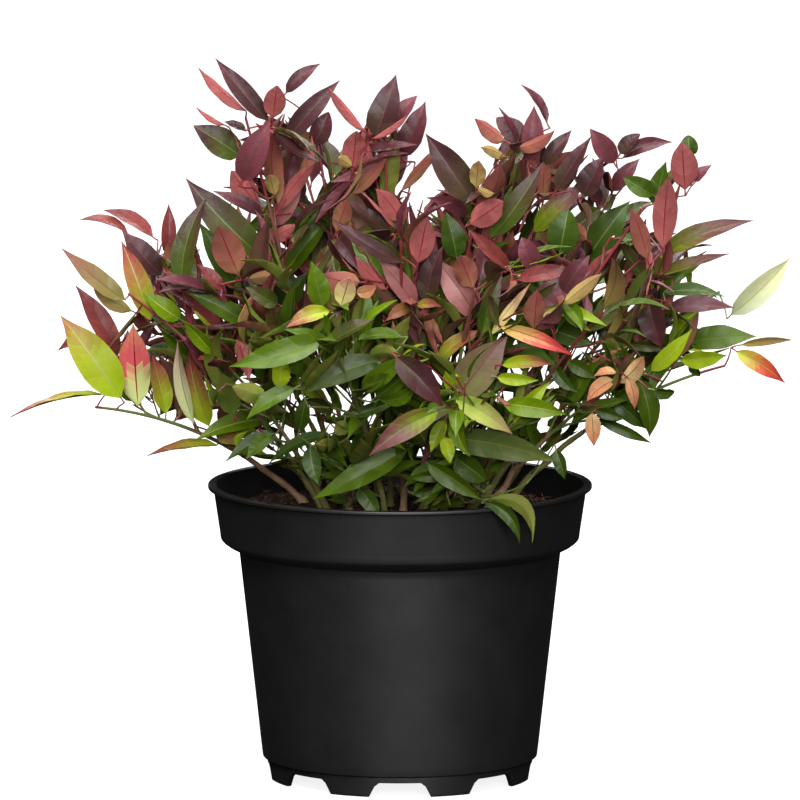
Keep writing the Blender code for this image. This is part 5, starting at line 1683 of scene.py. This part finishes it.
def pot_profile():
    """The wall's section with its rounded edges, from the floor's middle up, over and down."""
    lip_low = LIP_TOP - LIP_DEPTH
    inner_collar = COLLAR_TOP_RADIUS - WALL
    foot_inner = FOOT_RADIUS - FOOT_WALL
    points = [(0.0, FLOOR_TOP)]
    floor_edge = BODY_LOW_RADIUS - WALL - FLOOR_ROUND
    points += straight((FLOOR_MIDDLE, FLOOR_TOP), (floor_edge, FLOOR_TOP), 6)
    points += arc((floor_edge, FLOOR_TOP + FLOOR_ROUND), FLOOR_ROUND, -90, 0, 5)
    inner_low = (BODY_LOW_RADIUS - WALL + 0.4 * MM, FLOOR_TOP + 3.5 * MM)
    inner_body = (BODY_TOP_RADIUS - WALL, BODY_TOP + 1.5 * MM)
    inner_foot = (COLLAR_LOW_RADIUS - WALL, COLLAR_LOW + 1.5 * MM)
    points += straight(inner_low, inner_body, 16)
    points += straight(inner_body, inner_foot, 5)
    points += straight(inner_foot, (inner_collar, LIP_TOP - 2 * LIP_ROUND), 8)
    points += arc((inner_collar + LIP_ROUND, LIP_TOP - LIP_ROUND), LIP_ROUND, 180, 90, 5)
    points += arc((LIP_RADIUS - LIP_ROUND, LIP_TOP - LIP_ROUND), LIP_ROUND, 90, 0, 5)
    points += arc((LIP_RADIUS - LIP_ROUND, lip_low + LIP_ROUND), LIP_ROUND, 0, -90, 5)
    points += [(COLLAR_TOP_RADIUS + 0.4 * MM, lip_low), (COLLAR_TOP_RADIUS + 0.1 * MM, lip_low - 0.2 * MM)]
    collar_top = (COLLAR_TOP_RADIUS, lip_low - 0.6 * MM)
    points += straight(collar_top, (COLLAR_LOW_RADIUS, COLLAR_LOW + 0.8 * MM), 12)
    points += [(radius * MM, height * MM) for radius, height in COLLAR_FOOT]
    points += straight((BODY_TOP_RADIUS, BODY_TOP), (BODY_LOW_RADIUS + 0.1 * MM, BODY_LOW + 0.9 * MM), 26)
    points += arc((BODY_LOW_RADIUS - BODY_ROUND, BODY_LOW + 0.5 * MM), BODY_ROUND, 0, -80, 4)
    points += [(FOOT_TOP_RADIUS + 0.5 * MM, BODY_LOW - 0.3 * MM), (FOOT_TOP_RADIUS, BODY_LOW - 0.8 * MM)]
    points += straight((FOOT_TOP_RADIUS, BODY_LOW - 1.6 * MM), (FOOT_RADIUS, 0.6 * MM), 6)
    points += arc((FOOT_RADIUS - FOOT_ROUND, FOOT_ROUND), FOOT_ROUND, 0, -90, 4)
    points += [(foot_inner, 0.0), (foot_inner, 5 * MM), (foot_inner, FLOOR_UNDER)]
    points += [(FLOOR_MIDDLE, FLOOR_UNDER), (0.0, FLOOR_UNDER)]
    return points


def make_pot():
    """The profile turned round the pot's axis, with the notches cut out of its foot."""
    profile = pot_profile()
    radius, height = np.array(profile[1:-1]).T[:, None, :]
    angles = (np.arange(POT_SIDES) * 2.0 * math.pi / POT_SIDES)[:, None]
    points = np.stack((radius * np.cos(angles), radius * np.sin(angles),
                       np.broadcast_to(height, (POT_SIDES, height.size))), axis=-1).reshape(-1, 3)
    points = np.concatenate((points, [(0.0, 0.0, profile[0][1]), (0.0, 0.0, profile[-1][1])]))
    faces = []
    row = height.size
    top, bottom = POT_SIDES * row, POT_SIDES * row + 1
    for first in range(0, POT_SIDES * row, row):
        after = (first + row) % (POT_SIDES * row)
        faces.append((top, first, after, after))
        faces.append((bottom, after + row - 1, first + row - 1, first + row - 1))
        faces += [(first + index, first + index + 1, after + index + 1, after + index)
                  for index in range(row - 1)]
    pot = mesh_object("pot_shell", points, faces, [pot_material()])
    cutter = notch_cutter()
    cut = pot.modifiers.new("notches", "BOOLEAN")
    cut.operation = "DIFFERENCE"
    cut.solver = "EXACT"
    cut.object = cutter
    bpy.context.view_layer.update()
    mesh = bpy.data.meshes.new_from_object(pot.evaluated_get(bpy.context.evaluated_depsgraph_get()))
    pot.modifiers.clear()
    pot.data = mesh
    mesh.shade_smooth()
    mesh.set_sharp_from_angle(angle=math.radians(POT_SHARP_DEGREES))
    bpy.data.objects.remove(cutter, do_unlink=True)
    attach(pot, "root")
    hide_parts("pot")


def notch_cutter():
    """Eight arched openings through the foot ring."""
    build = bmesh.new()
    inner, outer = FOOT_RADIUS - FOOT_WALL - NOTCH_SPARE, FOOT_RADIUS + NOTCH_SPARE
    half_low, half_top = NOTCH_WIDTH / 2, NOTCH_TOP_WIDTH / 2
    arch = (NOTCH_CORNER, NOTCH_HEIGHT - NOTCH_CORNER)
    outline = [(-half_low - 1.5 * MM, -NOTCH_SPARE), (-half_low, 0.0), (-half_top - 1.2 * MM, arch[1])]
    outline += [(x - half_top, z) for x, z in arc(arch, NOTCH_CORNER, 150, 90, 5)]
    outline += [(-x, z) for x, z in reversed(outline)]
    for index in range(NOTCH_COUNT):
        turn = Matrix.Rotation(FULL_TURN * index / NOTCH_COUNT - math.pi / 2, 3, "Z")
        near, far = ([build.verts.new(turn @ Vector((radius, x, z))) for x, z in outline]
                     for radius in (inner, outer))
        build.faces.new(near)
        build.faces.new(far[::-1])
        for first in range(len(outline)):
            second = (first + 1) % len(outline)
            build.faces.new((near[second], near[first], far[first], far[second]))
    bmesh.ops.recalc_face_normals(build, faces=list(build.faces))
    mesh = bpy.data.meshes.new("notch_cutter")
    build.to_mesh(mesh)
    build.free()
    return add_object("notch_cutter", mesh)


# Peat.
def lump(x, y):
    """The unevenness of the peat's surface at a place."""
    return (1.3 * math.sin(61 * x + 1.7) * math.cos(53 * y + 0.4) + 0.8 * math.sin(131 * x + 97 * y)
            + 0.5 * math.sin(241 * x - 183 * y + 2.0) + 0.4 * math.cos(397 * y + 311 * x)) * MM


def make_peat():
    """The root ball's body, with a crumbly top that sinks a little at the pot's wall."""
    chance = np.random.default_rng(9)
    around = [FULL_TURN * side / SOIL_SIDES for side in range(SOIL_SIDES)]
    points = [(0.0, 0.0, SOIL_TOP - SOIL_DROP + lump(0.0, 0.0))]
    edge_start, edge_span, edge_drop = SOIL_EDGE
    for ring in range(1, SOIL_RINGS + 1):
        radius = SOIL_RADIUS * ring / SOIL_RINGS
        edge = max(0.0, (radius / SOIL_RADIUS - edge_start) / edge_span)
        for angle in around:
            x, y = radius * math.cos(angle), radius * math.sin(angle)
            height = SOIL_TOP - SOIL_DROP + lump(x, y) + chance.normal(0.0, SOIL_GRAIN_MM) * MM
            points.append((x, y, height - edge_drop * edge * edge))
    for radius, height in SOIL_SIDE:
        points += [(radius * math.cos(angle), radius * math.sin(angle), height) for angle in around]
    points.append((0.0, 0.0, SOIL_LOW))
    faces = []
    total = SOIL_RINGS + len(SOIL_SIDE)
    last = 1 + (total - 1) * SOIL_SIDES
    for side in range(SOIL_SIDES):
        after = (side + 1) % SOIL_SIDES
        faces.append((0, 1 + side, 1 + after, 1 + after))
        faces += [(first + side, first + SOIL_SIDES + side, first + SOIL_SIDES + after, first + after)
                  for first in range(1, last, SOIL_SIDES)]
        faces.append((len(points) - 1, last + after, last + side, last + side))
    dark = peat_material("peat_dark", (0.012, 0.0055, 0.0035), (0.040, 0.016, 0.009))
    brown = peat_material("peat_brown", (0.045, 0.017, 0.010), (0.11, 0.042, 0.022))
    fibre = peat_material("peat_fibre", (0.14, 0.070, 0.032), (0.26, 0.13, 0.06))
    ground = mesh_object("peat", points, faces, [dark])
    crumbs = make_crumbs((dark, brown, fibre))
    for piece in (ground, crumbs):
        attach(piece, "root")
        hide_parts("root_ball")


def make_crumbs(materials):
    """Loose crumbs, bark chips and root fibres scattered on the peat."""
    gather = Gather()
    chance = random.Random(31)
    ends = ((1, 0, 0), (-1, 0, 0), (0, 1, 0), (0, -1, 0), (0, 0, 1), (0, 0, -1))
    faces = [(a, b, 4, 4) for a, b in ((0, 2), (2, 1), (1, 3), (3, 0))]
    faces += [(b, a, 5, 5) for a, b, _, _ in faces]
    for index in range(CRUMBS):
        radius = SOIL_RADIUS * 0.97 * math.sqrt(chance.random())
        angle = chance.uniform(0.0, FULL_TURN)
        x, y = radius * math.cos(angle), radius * math.sin(angle)
        size = chance.choice(CRUMB_SIZES) * MM * chance.uniform(0.8, 1.2)
        centre = Vector((x, y, SOIL_TOP - SOIL_DROP + lump(x, y) + size * 0.3))
        turn = chance.uniform(0, 6.28)
        tilt = Matrix.Rotation(turn, 3, Vector((chance.random(), chance.random(), 1.0)).normalized())
        if index % FIBRE_EVERY == 0:
            way = tilt @ Vector((1.0, 0.0, 0.12)) * size * 3
            middle = centre + tilt @ Vector((0, size, size * 0.6))
            gather.add(*tube_arrays([centre - way, middle, centre + way],
                                    (0.20 * MM, 0.28 * MM, 0.16 * MM), 4), 2)
            continue
        corners = [centre + tilt @ Vector(end) * size * chance.uniform(0.6, 1.25) for end in ends]
        gather.add(corners, faces, chance.choice((0, 0, 1)))
    return gather.object("peat_crumbs", materials)


# Studio.
def aimed(name, data, place, aim):
    """A camera or light at a place, turned to what it looks at."""
    made = add_object(name, data)
    made.location = place
    made.rotation_euler = (Vector(aim) - Vector(place)).to_track_quat("-Z", "Y").to_euler()
    return made


def make_camera():
    data = bpy.data.cameras.new("camera")
    data.lens = LENS_MM
    data.sensor_width = SENSOR_MM
    data.clip_end = 100.0
    bpy.context.scene.camera = aimed("camera", data, CAMERA_PLACE, CAMERA_AIM)


def make_lights():
    for name, (place, aim_height, size, power) in LIGHTS.items():
        data = bpy.data.lights.new(name, "AREA")
        data.shape = "RECTANGLE"
        data.size, data.size_y = size
        data.energy = power
        aimed(name, data, place, (0, 0, aim_height))


def seen_or_felt(tree, seen, felt, output):
    """Join two shaders: one for what the camera sees itself, one for the light that reaches the part."""
    join = node(tree, "ShaderNodeMixShader")
    path = node(tree, "ShaderNodeLightPath")
    tree.links.new(path.outputs["Is Camera Ray"], join.inputs["Fac"])
    tree.links.new(felt.outputs[0], join.inputs[1])
    tree.links.new(seen.outputs[0], join.inputs[2])
    tree.links.new(join.outputs["Shader"], tree.nodes[output].inputs["Surface"])


def make_world():
    """White behind the part, and a faint light from all round."""
    world = bpy.data.worlds.new("studio")
    world.use_nodes = True
    tree = world.node_tree
    felt = tree.nodes["Background"]
    felt.inputs["Color"].default_value = WHITE
    felt.inputs["Strength"].default_value = FILL_LIGHT
    seen = node(tree, "ShaderNodeBackground", Color=WHITE)
    seen_or_felt(tree, seen, felt, "World Output")
    bpy.context.scene.world = world


def make_floor():
    """A pale floor that fades into the white behind it."""
    material, seen = new_material("studio_floor", FLOOR_TONE, 0.9, 0.0)
    tree = material.node_tree
    seen.inputs["Emission Color"].default_value = WHITE
    place = node(tree, "ShaderNodeTexCoord")
    away = node(tree, "ShaderNodeVectorMath")
    away.operation = "LENGTH"
    tree.links.new(place.outputs["Object"], away.inputs[0])
    glow = node(tree, "ShaderNodeMapRange", From_Min=FLOOR_FADE[0], From_Max=FLOOR_FADE[1],
                To_Min=FLOOR_GLOW, To_Max=1.0)
    tree.links.new(away.outputs["Value"], glow.inputs["Value"])
    tree.links.new(glow.outputs["Result"], seen.inputs["Emission Strength"])
    felt = node(tree, "ShaderNodeBsdfDiffuse", Color=FLOOR_FELT)
    seen_or_felt(tree, seen, felt, "Material Output")
    half = FLOOR_HALF
    corners = [(-half, -half, 0.0), (half, -half, 0.0), (half, half, 0.0), (-half, half, 0.0)]
    mesh_object("studio_floor", corners, [(0, 1, 2, 3)], [material])


def main():
    bpy.context.scene.view_settings.view_transform = "Standard"
    make_camera()
    make_world()
    make_floor()
    make_lights()
    make_pot()
    make_peat()
    make_canes()
    make_foliage()


main()
